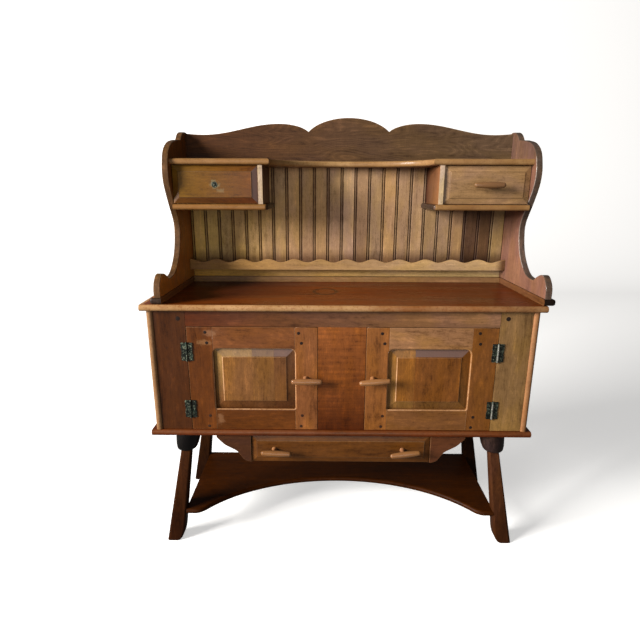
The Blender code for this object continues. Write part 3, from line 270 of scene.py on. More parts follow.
def new_group(name, inputs, outputs):
    """Start a shader node group with named sockets, and give its tree, its values and its end."""
    group = bpy.data.node_groups.new(name, "ShaderNodeTree")
    for label, kind, default in inputs:
        socket = group.interface.new_socket(label, in_out="INPUT", socket_type="NodeSocket" + kind)
        if default is not None:
            socket.default_value = default
    for label, kind in outputs:
        group.interface.new_socket(label, in_out="OUTPUT", socket_type="NodeSocket" + kind)
    entry = group.nodes.new("NodeGroupInput")
    values = {label: Value(group, entry.outputs[label]) for label, kind, default in inputs}
    return group, values, group.nodes.new("NodeGroupOutput")


def build_grain_group():
    """Lumber grain: streaks, growth rings, curl, blotched stain and fine fibres along each board."""
    group, entry, leave = new_group("lumber_grain", (
        ("Vector", "Vector", None), ("Run", "Float", 0.0), ("Seed", "Float", 0.0),
        ("Pale", "Color", (0.4, 0.2, 0.1, 1)), ("Middle", "Color", (0.2, 0.1, 0.05, 1)),
        ("Dark", "Color", (0.1, 0.04, 0.02, 1)), ("Streaks", "Float", 0.8), ("Rings", "Float", 0.4),
        ("Curl", "Float", 0.2), ("Blotches", "Float", 0.5),
    ), (("Color", "Color"), ("Height", "Float"), ("Polish", "Float")))
    x, y, z = add(group, "ShaderNodeSeparateXYZ", {0: entry["Vector"]}).outputs
    upwards = add(group, "ShaderNodeCombineXYZ", {0: z, 1: y, 2: x}).outputs[0]
    inwards = add(group, "ShaderNodeCombineXYZ", {0: y, 1: x, 2: z}).outputs[0]
    along = mix_places(group, entry["Run"].step("MINIMUM", 1.0), entry["Vector"], upwards)
    along = mix_places(group, (entry["Run"] - 1.0).step("MAXIMUM", 0.0), along, inwards)
    shift = vector_step(group, "SCALE", {0: (3.17, 5.71, 9.33), 3: entry["Seed"]})
    place = vector_step(group, "ADD", {0: along, 1: shift})
    grain = {name: noise(group, place, *shape) for name, shape in GRAIN_NOISES.items()}

    parts = add(group, "ShaderNodeSeparateXYZ", {0: place}).outputs
    ring = Value(group, parts[1]) + Value(group, parts[2]) * 0.35 + grain["warp"] * 0.13
    ring = (ring * RING_WAVE).step("SINE")
    streaks, blotches = entry["Streaks"], entry["Blotches"]
    total = (grain["streak"] - 0.5) * (streaks * 1.7)
    total = total + (grain["band"] - 0.5) * (streaks * 0.9)
    total = total + ring * ring * ring * (entry["Rings"] * 0.26)
    for name, weight in (
        ("curl", entry["Curl"] * 1.1), ("blotch", blotches * 1.5), ("mottle", blotches * 1.5),
        ("speckle", 0.75), ("fibre", 0.55),
    ):
        total = total + (grain[name] - 0.5) * weight
    shade = mix(group, total.between(0.0, 0.58), entry["Middle"], entry["Pale"])
    shade = mix(group, total.between(0.03, -0.68), shade, entry["Dark"])
    drift = mix(group, grain["drift"].between(0.38, 0.64), (0.97, 0.97, 1.08), (1.04, 1.03, 0.82))
    shade = mix(group, blotches * 1.2, shade, mix(group, 1.0, shade, drift, "MULTIPLY"))
    shade = mix(group, grain["fleck"].between(0.63, 0.74, 0.0, 0.45), shade, entry["Dark"])
    feed(group, leave, {
        "Color": shade,
        "Height": grain["fibre"] * 0.5 + grain["streak"] * 0.7,
        "Polish": grain["blotch"] * 0.6 + grain["fibre"] * 0.4,
    })


def build_wear_and_light_group():
    """Pale rubbed edges, some of them painted highlights, and darker corners and grooves, with painted shadow
    in some places.
    """
    group, entry, leave = new_group("wear_and_painted_light", (
        ("Color", "Color", None), ("Vector", "Vector", None), ("Worn", "Float", 0.0),
        ("Grime And Shade", "Float", 0.0), ("Rubbed And Highlight", "Color", (0.4, 0.2, 0.1, 1)),
        ("Dirt And Shade", "Color", (0.030, 0.014, 0.010, 1)),
    ), (("Color", "Color"), ("Roughening", "Float")))
    ragged = noise(group, entry["Vector"], 55.0, 4.0, 0.6)
    long_wear = noise(group, entry["Vector"], 9.0, 4.0, 0.6)
    specks = noise(group, entry["Vector"], 170.0, 3.0, 0.6)
    # The rubbed colour's share: wear, and on some pieces a painted highlight.
    rubbed = entry["Worn"] * (specks.between(0.36, 0.46, 0.55, 1.0) * ragged.between(0.30, 0.55, 0.72, 1.0))
    dirt_and_shade = entry["Grime And Shade"] * ragged.between(0.25, 0.60, 0.75, 1.0)
    tone = mix(group, long_wear.between(0.36, 0.62), (0.80, 0.74, 0.64), (1.06, 1.07, 1.10))
    shade = mix(group, rubbed, entry["Color"], mix(group, 1.0, entry["Rubbed And Highlight"], tone, "MULTIPLY"))
    shade = mix(group, dirt_and_shade, shade, entry["Dirt And Shade"])
    feed(group, leave, {"Color": shade, "Roughening": dirt_and_shade * 0.3 + rubbed * 0.05})


def build_spot_group():
    """A ragged spot on a board, such as a rubbed patch or a stain, solid or as a ring."""
    group, entry, leave = new_group("ragged_spot", (
        ("Vector", "Vector", None), ("Centre", "Vector", (0, 0, 0)), ("Reach", "Vector", (1, 1, 1)),
        ("Ring", "Float", 0.0), ("Raggedness", "Float", 3.4),
    ), (("Mask", "Float"),))
    away = vector_step(group, "SUBTRACT", {0: entry["Vector"], 1: entry["Centre"]})
    away = vector_step(group, "DIVIDE", {0: away, 1: entry["Reach"]})
    far = Value(group, vector_step(group, "LENGTH", {0: away}, "Value"))
    far = far + (noise(group, entry["Vector"], 62.0, 6.0, 0.75) - 0.5) * entry["Raggedness"]
    whole = far.between(1.05, 0.25)
    line = (far - 0.9).step("ABSOLUTE").between(0.20, 0.06)
    feed(group, leave, {"Mask": whole + (line - whole) * entry["Ring"]})


def new_material(name):
    """Start a material, and give its tree and its shader."""
    material = bpy.data.materials.new(name)
    material.use_nodes = True
    return material.node_tree, material.node_tree.nodes["Principled BSDF"]


def stain(base, pale=1.55, dark=0.42):
    """A board's pale, middle and dark tones from one stain."""
    light = tuple(min(1.0, value * pale) for value in base)
    deep = (base[0] * dark, base[1] * dark * 0.9, base[2] * dark * 0.8)
    return light, tuple(base), deep


def wood(name, tones, streaks=0.8, rings=0.4, curl=0.15, blotches=0.5, gloss=(0.32, 0.50), coat=0.14,
         bump=0.0005, rubbed=None, spots=(), dressed=True, tinted=True, shine=0.18):
    """A stained and varnished wood finish, for dressed pieces or for plain solids without stored values."""
    tree, shader = new_material(name)
    place = add(tree, "ShaderNodeTexCoord").outputs["Object"]
    groups = bpy.data.node_groups
    grain = add(tree, "ShaderNodeGroup", {
        "Vector": place, "Pale": tones[0], "Middle": tones[1], "Dark": tones[2], "Streaks": streaks,
        "Rings": rings, "Curl": curl, "Blotches": blotches,
    }, node_tree=groups["lumber_grain"])
    shade = grain.outputs["Color"]
    if dressed:
        feed(tree, grain, {"Run": attribute(tree, "run"), "Seed": attribute(tree, "seed")})
        if tinted:
            shade = mix(tree, 1.0, shade, attribute(tree, "tint", "Color"), "MULTIPLY")
        # A grey-purple colour painted on slopes: as a reflection of the light above on upward slopes, and as
        # shade on slopes that face away from the light.
        shade = mix(tree, attribute(tree, "grey_sheen_and_shade"), shade, (0.120, 0.072, 0.060))
    for centre, reach, ring, strength, paint in spots:
        spot = add(tree, "ShaderNodeGroup", {
            "Vector": place, "Centre": centre, "Reach": reach, "Ring": ring,
            "Raggedness": 0.15 if ring else 3.4,
        }, node_tree=groups["ragged_spot"])
        shade = mix(tree, Value(tree, spot.outputs["Mask"]) * strength, shade, paint)
    wear = add(tree, "ShaderNodeGroup", {
        "Color": shade, "Vector": place, "Rubbed And Highlight": rubbed or colours().nose,
    }, node_tree=groups["wear_and_painted_light"])
    if dressed:
        feed(tree, wear, {"Worn": attribute(tree, "wear_and_highlight"), "Grime And Shade": attribute(tree, "grime_and_shade")})
    rough = Value(tree, grain.outputs["Polish"]).between(0.30, 0.70, gloss[0], gloss[1])
    relief = add(tree, "ShaderNodeBump", {
        "Height": grain.outputs["Height"], "Distance": bump, "Strength": 0.6,
    })
    feed(tree, shader, {
        "Base Color": wear.outputs["Color"], "Normal": relief.outputs[0],
        "Roughness": (rough + wear.outputs["Roughening"]).step("MINIMUM", 1.0),
        "Specular IOR Level": shine, "Coat Weight": coat, "Coat Roughness": 0.16,
    })


def iron(name, base):
    """Bronzed iron, hammered and rubbed bright on its high points."""
    tree, shader = new_material(name)
    place = add(tree, "ShaderNodeTexCoord").outputs["Object"]
    dents = add(tree, "ShaderNodeTexVoronoi", {"Vector": place, "Scale": 260.0}, feature="SMOOTH_F1")
    patina = noise(tree, place, 240.0, 4.0, 0.65)
    verdigris = noise(tree, place, 60.0)
    deep = (base[0] * 0.45, base[1] * 0.45, base[2] * 0.5)
    shade = mix(tree, patina.between(0.40, 0.62), deep, base)
    shade = mix(tree, verdigris.between(0.52, 0.64, 0.0, 0.6), shade, (0.045, 0.072, 0.052))
    shade = mix(tree, patina.between(0.54, 0.64, 0.0, 0.9), shade, (0.22, 0.24, 0.16))
    relief = add(tree, "ShaderNodeBump", {
        "Height": dents.outputs["Distance"], "Distance": 0.0006, "Strength": 0.7,
    })
    feed(tree, shader, {
        "Base Color": shade, "Roughness": patina.between(0.3, 0.7, 0.30, 0.58), "Metallic": 0.75,
        "Normal": relief.outputs[0],
    })


# ---- modelling

def with_layers(part):
    """Give a part the layers that its finish reads."""
    verts, loops = part.verts.layers, part.loops.layers
    for kind, names in (
        (verts.float, ("seed", "run")), (loops.float, ("wear_and_highlight", "grime_and_shade", "grey_sheen_and_shade")),
        (verts.float_color, ("tint",)),
    ):
        for name in names:
            if kind.get(name) is None:
                kind.new(name)
    return part


def block(low, high):
    """A block between two opposite corners."""
    part = with_layers(bmesh.new())
    bmesh.ops.create_cube(part, size=1.0)
    low, high = Vector(low), Vector(high)
    bmesh.ops.scale(part, vec=high - low, verts=part.verts)
    bmesh.ops.translate(part, vec=(low + high) / 2, verts=part.verts)
    return part


def plate(outline, axis, low, high):
    """Extrude a closed outline along one axis."""
    part = with_layers(bmesh.new())
    travel = Vector()
    travel[axis] = high - low
    corners = []
    for point in outline:
        place = list(point)
        place.insert(axis, low)
        corners.append(part.verts.new(place))
    grown = bmesh.ops.extrude_face_region(part, geom=[part.faces.new(corners)])
    moved = [item for item in grown["geom"] if isinstance(item, bmesh.types.BMVert)]
    bmesh.ops.translate(part, vec=travel, verts=moved)
    bmesh.ops.recalc_face_normals(part, faces=part.faces)
    return part


def sawn_board(outline, axis, low, high):
    """A plate whose curved rim is shaded smoothly, between its two flat faces."""
    part = plate(outline, axis, low[axis], high[axis])
    for face in part.faces:
        face.smooth = abs(face.normal[axis]) < 0.5
    return part


def turned(profile, axis, centre, steps):
    """Spin a profile of radii and heights about an axis through a point."""
    part = with_layers(bmesh.new())
    rail = [part.verts.new((radius, 0.0, height)) for radius, height in profile]
    edges = [part.edges.new(pair) for pair in zip(rail, rail[1:])]
    bmesh.ops.spin(
        part, geom=rail + edges, cent=(0, 0, 0), axis=(0, 0, 1), angle=math.tau, steps=steps, use_merge=True,
    )
    bmesh.ops.remove_doubles(part, verts=part.verts, dist=TINY)
    ends = [edge for edge in part.edges if edge.is_boundary]
    if ends:
        bmesh.ops.holes_fill(part, edges=ends, sides=0)
    bmesh.ops.recalc_face_normals(part, faces=part.faces)
    for face in part.faces:
        face.smooth = len(face.verts) <= 4
    turn = {X: Matrix.Rotation(math.pi / 2, 4, "Y"), Y: Matrix.Rotation(-math.pi / 2, 4, "X"), Z: Matrix()}
    place = Matrix.Translation(Vector(centre)) @ turn[axis]
    bmesh.ops.transform(part, matrix=place, verts=part.verts)
    return part


def middle(item):
    """The middle of an edge or a face."""
    return sum((vert.co for vert in item.verts), Vector()) / len(item.verts)


def pick(part, test, level=None):
    """The edges whose middle passes a test, or only those of them that don't run along one axis."""
    edges = [edge for edge in part.edges if test(middle(edge))]
    if level is None:
        return edges
    return [edge for edge in edges if abs(edge.verts[0].co[level] - edge.verts[1].co[level]) < TINY]


def mark(part, layer, amount):
    """Store how pale or how dark each face is painted at its corners, from their places: rubbed edges, darker
    corners, painted highlights and painted shade.
    """
    key = part.loops.layers.float[layer]
    for face in part.faces:
        for loop in face.loops:
            loop[key] = max(loop[key], amount(loop.vert.co))


def mark_faces(part, layer, amount, test):
    """Store one value at all corners of the faces that pass a test."""
    key = part.loops.layers.float[layer]
    for face in filter(test, part.faces):
        for loop in face.loops:
            loop[key] = amount


def second_finish(part, test):
    """Give the faces whose middle passes a test the piece's second finish."""
    for face in part.faces:
        face.material_index = 1 if test(middle(face)) else 0


def soften(part, edges, width, segments=2, wear_and_highlight=0.0):
    """Round some edges, and mark them as rubbed."""
    made = bmesh.ops.bevel(
        part, geom=list(edges), offset=width, offset_type="OFFSET", segments=segments, profile=0.5,
        affect="EDGES", material=-1, clamp_overlap=True,
    )
    layer = part.loops.layers.float["wear_and_highlight"]
    for face in made["faces"]:
        face.smooth = True
        for loop in face.loops:
            loop[layer] = max(loop[layer], wear_and_highlight)


def soften_all(part, width, wear_and_highlight):
    """Soften every sharp edge of a part."""
    steep = math.radians(35)
    soften(part, [edge for edge in part.edges if edge.calc_face_angle(0.0) > steep], width, 2, wear_and_highlight)


def round_front(part, front):
    """Round the front edge of a wide board to a nosing, and soften the edges at its ends."""
    soften(part, pick(part, lambda at: abs(at.x) < 0.5 and at.y < front + 0.001), sizes().nosing, 6)
    ends = pick(part, lambda at: abs(at.x) > 0.59)
    soften(part, [edge for edge in ends if edge.calc_face_angle(0) > 0.7], 0.0018)


def look(part, seed, run, tint=UNTINTED):
    """Give a part its own stretch of grain, the way the grain runs, and a tint."""
    layers = part.verts.layers
    for vert in part.verts:
        vert[layers.float["seed"]] = seed
        vert[layers.float["run"]] = run
        vert[layers.float_color["tint"]] = (*tint, 1.0)
    return part


def cut(part, axis, levels):
    """Divide a part's faces with planes, where its wear or its tint is going to change."""
    across = Vector()
    across[axis] = 1.0
    for level in levels:
        geom = part.verts[:] + part.edges[:] + part.faces[:]
        bmesh.ops.bisect_plane(part, geom=geom, dist=1e-7, plane_co=across * level, plane_no=across)


def fade(part, axis, start, end, first, last):
    """Change a part's tint steadily between two planes."""
    layer = part.verts.layers.float_color["tint"]
    for vert in part.verts:
        share = min(max((vert.co[axis] - start) / (end - start), 0.0), 1.0)
        tone = [one + (other - one) * share for one, other in zip(first, last)]
        vert[layer] = (*(old * new for old, new in zip(vert[layer][:3], tone)), 1.0)
    return part


def fade_along(part, axis, node, first, last):
    """Change a part's tint steadily from one end of a solid to the other."""
    low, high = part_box(node)
    return fade(part, axis, low[axis], high[axis], first, last)


def to_object(part, name):
    """A temporary object from a part."""
    mesh = bpy.data.meshes.new(name)
    part.to_mesh(mesh)
    part.free()
    made = bpy.data.objects.new(name, mesh)
    bpy.context.scene.collection.objects.link(made)
    return made


def carve(part, tool):
    """Cut a tool's shape out of a part."""
    body = to_object(part, "carved")
    cutter = to_object(tool, "cutter")
    boolean = body.modifiers.new("cut", "BOOLEAN")
    boolean.solver = "EXACT"
    boolean.object = cutter
    evaluated = body.evaluated_get(bpy.context.evaluated_depsgraph_get())
    left = with_layers(bmesh.new())
    mesh = bpy.data.meshes.new_from_object(evaluated)
    left.from_mesh(mesh)
    for made in (body, cutter):
        old = made.data
        bpy.data.objects.remove(made)
        bpy.data.meshes.remove(old)
    bpy.data.meshes.remove(mesh)
    return left


def trim(part, x, outwards):
    """Cut a part along an upright plane, drop what lies beyond it, and close the cut."""
    made = bmesh.ops.bisect_plane(
        part, geom=part.verts[:] + part.edges[:] + part.faces[:], dist=1e-7, plane_co=(x, 0, 0),
        plane_no=(outwards, 0, 0), clear_outer=True,
    )
    edges = [item for item in made["geom_cut"] if isinstance(item, bmesh.types.BMEdge)]
    bmesh.ops.holes_fill(part, edges=edges, sides=0)


def mark_creases(piece):
    """Crease the edges between flat faces and the steep edges, and shade all the rest smoothly."""
    piece.normal_update()
    for edge in piece.edges:
        turn = edge.calc_face_angle(math.pi)
        flat = all(not face.smooth for face in edge.link_faces)
        edge.smooth = turn < math.radians(40) and not (flat and turn > math.radians(3))
    for face in piece.faces:
        face.smooth = True


def finish_piece(name, parts, finishes, body, slot, *nodes):
    """Join parts to one piece that rides on its body in place of the solids it dresses."""
    piece = with_layers(bmesh.new())
    mesh = bpy.data.meshes.new(name)
    for part in parts:
        if part.calc_volume(signed=True) < 0:
            bmesh.ops.reverse_faces(part, faces=part.faces)
        part.to_mesh(mesh)
        part.free()
        piece.from_mesh(mesh)
    mark_creases(piece)
    piece.to_mesh(mesh)
    piece.free()
    for finish in finishes:
        mesh.materials.append(bpy.data.materials[finish])
    made = bpy.data.objects.new(name, mesh)
    bpy.context.scene.collection.objects.link(made)
    shading = made.modifiers.new("flat faces stay flat", "WEIGHTED_NORMAL")
    shading.keep_sharp = True
    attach(made, body)
    if nodes:
        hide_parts(*nodes)


def smooth_curve(points, steps):
    """A Catmull-Rom curve through given points."""
    ends = [points[0], *points, points[-1]]
    curve = []
    for index in range(1, len(ends) - 2):
        before, start, end, after = (Vector(point) for point in ends[index - 1:index + 3])
        for step in range(steps):
            t = step / steps
            curve.append(tuple(0.5 * (
                2 * start + (end - before) * t
                + (2 * before - 5 * start + 4 * end - after) * t ** 2
                + (3 * start - before - 3 * end + after) * t ** 3
            )))
    return [*curve, tuple(Vector(points[-1]))]


def simple_board(node, seed, run, tint, wear_and_highlight):
    """A board with softened edges in place of a plain solid."""
    part = block(*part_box(node))
    soften(part, part.edges[:], sizes().arris, 2, wear_and_highlight)
    return look(part, seed, run, tint)


FIELD_RIM = 0.0095
FIELD_QUIRK = 0.0016
DRAWER_RISE, DRAWER_SHOULDER = 0.0045, 0.0014


def panel_field(low, high, border, rise, shoulder, rubbed=0.0):
    """A board whose front has a field raised inside a sloping border."""
    back = low.y + rise + shoulder
    part = block((low.x, back, low.z), high)
    part.normal_update()
    front = [face for face in part.faces if face.normal.y < -0.5]
    outer = pick(part, lambda at: at.y < back + 1e-5)
    widths = (FIELD_RIM, border - FIELD_RIM - FIELD_QUIRK, FIELD_QUIRK)
    slopes = [(width, rise * width / border) for width in widths]
    for thickness, depth in (*slopes, (0.0008, shoulder)):
        bmesh.ops.inset_region(part, faces=front, thickness=thickness, depth=depth, use_even_offset=True)
    soften(part, pick(part, lambda at: abs(at.y - low.y) < 1e-5), 0.0006, 2, 0.5)
    soften(part, [edge for edge in outer if edge.is_valid], 0.0010, 2, 0.5)
    part.normal_update()
    # With a share given, the narrow step at the field's left is painted pale as a highlight where light from
    # the left catches it, and the darker line along the foot of the shoulder is left off there.
    lit = low.x + border + 0.003 if rubbed else low.x
    mark(part, "grime_and_shade", lambda at: 0.85 if abs(at.y - low.y - shoulder) < 1e-4 and at.x > lit else 0.0)

    def on_left_quirk(face):
        """Whether a face is part of the narrow step at the field's left."""
        places = [vert.co.x for vert in face.verts]
        narrow = max(places) - min(places) < FIELD_QUIRK + 0.0002
        return face.normal.x < -0.1 and narrow and abs(middle(face).x - low.x - border) < 0.003

    mark_faces(part, "wear_and_highlight", rubbed, on_left_quirk)
    return part


class StepOperator:
    """What each step of dressing the cabinet shares."""
    bl_options = {"REGISTER", "UNDO"}

    def execute(self, context):
        """Run the step."""
        self.make()
        return {"FINISHED"}


class CABINET_OT_finishes(StepOperator, bpy.types.Operator):
    """Mix the stains and finishes that the pieces share"""
    bl_idname = "cabinet.finishes"
    bl_label = "Mix finishes"

    def make(self):
        hue = colours()
        build_grain_group()
        build_wear_and_light_group()
        build_spot_group()
        wood("case_maple", stain(hue.case), streaks=0.6, curl=0.12, blotches=0.75, rubbed=(0.330, 0.185, 0.080))
        wood("curled_maple", stain(hue.case, 1.6, 0.4), curl=0.80, streaks=0.04, rings=0.0, blotches=0.9,
             bump=0.0001)
        wood("peg_maple", stain((0.012, 0.006, 0.004), 1.6, 0.6), gloss=(0.7, 0.9), coat=0.0)
        wood("door_maple", stain(hue.door), streaks=0.55, curl=0.10, blotches=0.85,
             rubbed=(0.46, 0.25, 0.12), spots=DOOR_SPOTS)
        wood("counter_maple", stain(hue.counter, 1.5, 0.5), streaks=0.9, rings=0.3, blotches=0.6,
             gloss=(0.24, 0.40), coat=0.08, shine=0.12, rubbed=(0.400, 0.230, 0.100), spots=COUNTER_SPOTS)
        wood("hutch_maple", stain(hue.hutch), streaks=0.6, blotches=0.6, rubbed=(0.290, 0.155, 0.050),
             spots=SCREW_SPOTS)
        # The top shelf's finish has a paler rubbed colour, which also paints the highlight on the left half of
        # its recess.
        wood("shelf_maple", stain(hue.hutch), streaks=0.6, blotches=0.6, rubbed=(0.345, 0.195, 0.075))
        # A lighter, warmer copy of the scroll edge finish, painted as lit, for the left side's edges.
        wood("lit_edge", stain((0.072, 0.032, 0.012), 2.2, 0.3), streaks=0.9, blotches=0.8,
             gloss=(0.30, 0.48), coat=0.06, shine=0.10, rubbed=(0.40, 0.26, 0.14), tinted=False)
        wood("bead_maple", stain(hue.bead, 1.5, 0.42), streaks=0.55, rings=0.2, blotches=0.6,
             gloss=(0.42, 0.6), coat=0.0, shine=0.12)
        wood("crest_maple", stain(hue.crest, 1.7, 0.42), streaks=0.65, rings=0.8, gloss=(0.45, 0.62),
             coat=0.0, shine=0.12)
        wood("leg_maple", stain(hue.leg, 1.7, 0.4), streaks=0.7, blotches=0.7, gloss=(0.38, 0.55),
             coat=0.0, shine=0.08)
        wood("end_grain", stain(hue.end, 2.2, 0.5), blotches=0.9, gloss=(0.25, 0.45), rubbed=(0.16, 0.08, 0.04))
        # Its pale lilac rubbed colour also paints the highlight line along the right side's inner arris.
        wood("scroll_edge", stain((0.052, 0.026, 0.014), 2.4, 0.3), streaks=0.9, blotches=1.0,
             gloss=(0.22, 0.42), coat=0.25, rubbed=(0.40, 0.33, 0.29), tinted=False)
        # Pale bare wood for the dividers' front edges, also painted as a highlight.
        wood("bare_highlit_edge", stain((0.42, 0.30, 0.19), 1.3, 0.22), streaks=0.8, blotches=1.0, tinted=False)
        wood("pull_maple", stain(hue.pull, 1.3, 0.6), streaks=0.6, rings=0.2, gloss=(0.22, 0.34), coat=0.35)
        wood("raw_maple", stain(hue.raw, 1.3, 0.65), gloss=(0.55, 0.75), coat=0.0, dressed=False)
        iron("bronzed_iron", hue.iron)
        # A pale copy of the iron, painted as the highlights on the right hinges' knuckles.
        iron("highlit_iron", (0.42, 0.41, 0.34))


class CABINET_OT_counter(StepOperator, bpy.types.Operator):
    """Glue up the counter from wide boards with a rounded nosing"""
    bl_idname = "cabinet.counter"
    bl_label = "Counter"

    def make(self):
        low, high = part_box("counter_top")
        seams = (low.y, low.y + 0.150, low.y + 0.292, high.y)
        parts = []
        for index, tint in enumerate(("counter_front", "counter_middle", "counter_rear")):
            part = block((low.x, seams[index], low.z), (high.x, seams[index + 1], high.z))
            round_front(part, low.y)
            cut(part, X, (low.x + 0.011, low.x + 0.012, -0.36, -0.12, 0.02, 0.16, 0.40))
            mark(part, "wear_and_highlight", lambda at: self.rubbed(at, low, high))
            # A dark patch painted on the counter's rear left stands for the shadow that the left hutch side
            # casts there.
            mark(part, "grime_and_shade", lambda at: 0.62 if low.x + 0.02 < at.x < -0.3 and at.y > low.y + 0.14 else 0.0)
            look(part, 1.3 + index, ACROSS, TINTS[tint])
            parts.append(fade(part, X, 0.02, high.x, (1.12, 1.12, 1.0), (0.72, 0.68, 0.66)))
        finish_piece("counter_boards", parts, ["counter_maple"], "case", "counter", "counter_top")

    def rubbed(self, at, low, high):
        """How rubbed the counter is near its edges."""
        if at.y < low.y + 0.0075:
            return 0.9 if at.x < 0.1 else 0.45
        return 0.9 if at.x < low.x + 0.0115 or at.x > high.x - 0.0015 else 0.0


class CABINET_OT_case(StepOperator, bpy.types.Operator):
    """Make the case's sides and bottom"""
    bl_idname = "cabinet.case"
    bl_label = "Case"

    def make(self):
        for side, hand in SIDES:
            node = "case_side_" + hand
            low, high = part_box(node)
            part = block(low, high)
            waist = (low.z + high.z) / 2
            soften(part, pick(part, lambda at: at.y < low.y + 0.001 and abs(at.z - waist) < 0.01), 0.0085, 5)
            wear_and_highlight = 0.60 if side < 0 else 0.46
            mark(part, "wear_and_highlight", lambda at: wear_and_highlight if at.y < low.y + 0.0065 else 0.0)
            look(part, 11.0 + side, UPWARDS, TINTS["case_" + hand])
            finish_piece("case_end_" + hand, [part], ["case_maple"], "case", "case", node)
        low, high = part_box("case_bottom")
        part = block(low, high)
        round_front(part, low.y)
        mark(part, "wear_and_highlight", lambda at: 0.12 if at.y < low.y + 0.0075 and at.z > low.z + 0.010 else 0.0)
        look(part, 14.2, ACROSS, TINTS["case_floor"])
        finish_piece("case_floor_board", [part], ["case_maple"], "case", "case", "case_bottom")


FACE_PEGS = ((-0.5105, 0.790), (0.4905, 0.793))


def peg(x, front, z, radius):
    """A peg's domed end, a little proud of the board."""
    profile = (
        (radius, 0.004), (radius, -0.0001), (radius * 0.86, -0.0003), (radius * 0.45, -0.0005), (0.0, -0.0005),
    )
    pale = z < 0.5 and x < 0.3
    part = turned(profile, Y, (x, front, z), 16)
    return look(part, x * 9 + z, FRONT_TO_BACK, (2.6, 1.9, 1.2) if pale else UNTINTED)


class CABINET_OT_face_frame(StepOperator, bpy.types.Operator):
    """Fit the stiles, the rail and the middle board of the face frame, with their pegs"""
    bl_idname = "cabinet.face_frame"
    bl_label = "Face frame"

    def make(self):
        boards = (
            ("face_stile_left", 20.1, UPWARDS, "stile_left", "left_face_board"),
            ("face_stile_right", 21.4, UPWARDS, "stile_right", "right_face_board"),
            ("face_top_rail", 22.9, ACROSS, "top_rail", "top_face_board"),
            ("face_centre_panel", 23.6, UPWARDS, "middle_board", "middle_face_board"),
        )
        for node, seed, run, tint, name in boards:
            part = simple_board(node, seed, run, TINTS[tint], 0.0)
            finish = "case_maple"
            if node == "face_centre_panel":
                finish = "curled_maple"
                fade_along(part, Z, node, (0.42, 0.30, 0.08), (1.50, 1.74, 3.90))
            if node == "face_top_rail":
                fade_along(part, X, node, (0.50, 0.28, 0.12), (1.22, 1.66, 2.45))
            finish_piece(name, [part], [finish], "case", "case", node)
        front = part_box("face_stile_left")[0].y
        pegs = [peg(x, front, z, sizes().face_peg) for x, z in FACE_PEGS]
        finish_piece("face_frame_pegs", pegs, ["peg_maple"], "case", "case")


# ---- doors

UPPER_CORNER, LOWER_CORNER = 0.016, 0.005
DOOR_RISE, DOOR_SHOULDER = 0.0073, 0.0018
PANEL_REBATE = 0.006
LATCH_PEGS, HINGE_PEGS = (0.745, 0.713, 0.470, 0.433), (0.747, 0.713, 0.468, 0.432)
LATCH_PEG_INSET, HINGE_PEG_INSET = {"left": 0.0530, "right": 0.0520}, 0.0575
PEG_SCATTER = 0.005
TOOL_CLEARANCE = 0.004
PANEL_SEAMS = {"left": (0.0, 0.47, 0.74, 1.0), "right": (0.0, 0.33, 1.0)}

# For each board of a door's panel: the tints painted on its upper and lower slopes for the light and shade that
# fall on them, and how grey the upper one is painted as a reflection.
PANEL_SLOPES = {
    "left": (
        ((1.45, 2.00, 2.80), (0.60, 0.52, 0.50), 0.25), ((1.25, 1.60, 2.20), (0.60, 0.52, 0.50), 0.55),
        ((1.10, 1.20, 1.60), (0.60, 0.52, 0.50), 0.70),
    ),
    "right": (
        ((1.10, 1.30, 1.80), (0.90, 1.15, 1.80), 0.10), ((1.00, 1.00, 1.00), (0.90, 1.15, 1.80), 0.85),
    ),
}


def opening_outline(x, z, grow):
    """A door opening's outline, with large upper and small lower corners."""
    low_x, high_x, low_z, high_z = x[0] - grow, x[1] + grow, z[0] - grow, z[1] + grow
    upper, lower = UPPER_CORNER + grow, LOWER_CORNER + grow
    corners = (
        (high_x - upper, high_z - upper, upper), (low_x + upper, high_z - upper, upper),
        (low_x + lower, low_z + lower, lower), (high_x - lower, low_z + lower, lower),
    )
    points = []
    for quarter, (centre_x, centre_z, radius) in enumerate(corners):
        for step in range(7):
            turn = math.pi / 2 * (quarter + step / 6)
            points.append((centre_x + radius * math.cos(turn), centre_z + radius * math.sin(turn)))
    return points


def opening_tool(x, z, front, back):
    """A flared plug that cuts a door's opening and rounds its front edge."""
    lip = sizes().sticking
    levels = [(back + TOOL_CLEARANCE, 0.0)]
    for step in range(6):
        slope = math.pi / 2 * step / 5
        levels.append((front + lip * (1 - math.sin(slope)), lip * (1 - math.cos(slope))))
    levels.append((front - TOOL_CLEARANCE, lip))
    part = with_layers(bmesh.new())
    rings = [[part.verts.new((u, y, v)) for u, v in opening_outline(x, z, grow)] for y, grow in levels]
    for ring, following in zip(rings, rings[1:]):
        for index, vert in enumerate(ring):
            part.faces.new((ring[index - 1], vert, following[index], following[index - 1]))
    part.faces.new(rings[0])
    part.faces.new(rings[-1])
    bmesh.ops.recalc_face_normals(part, faces=part.faces)
    return part


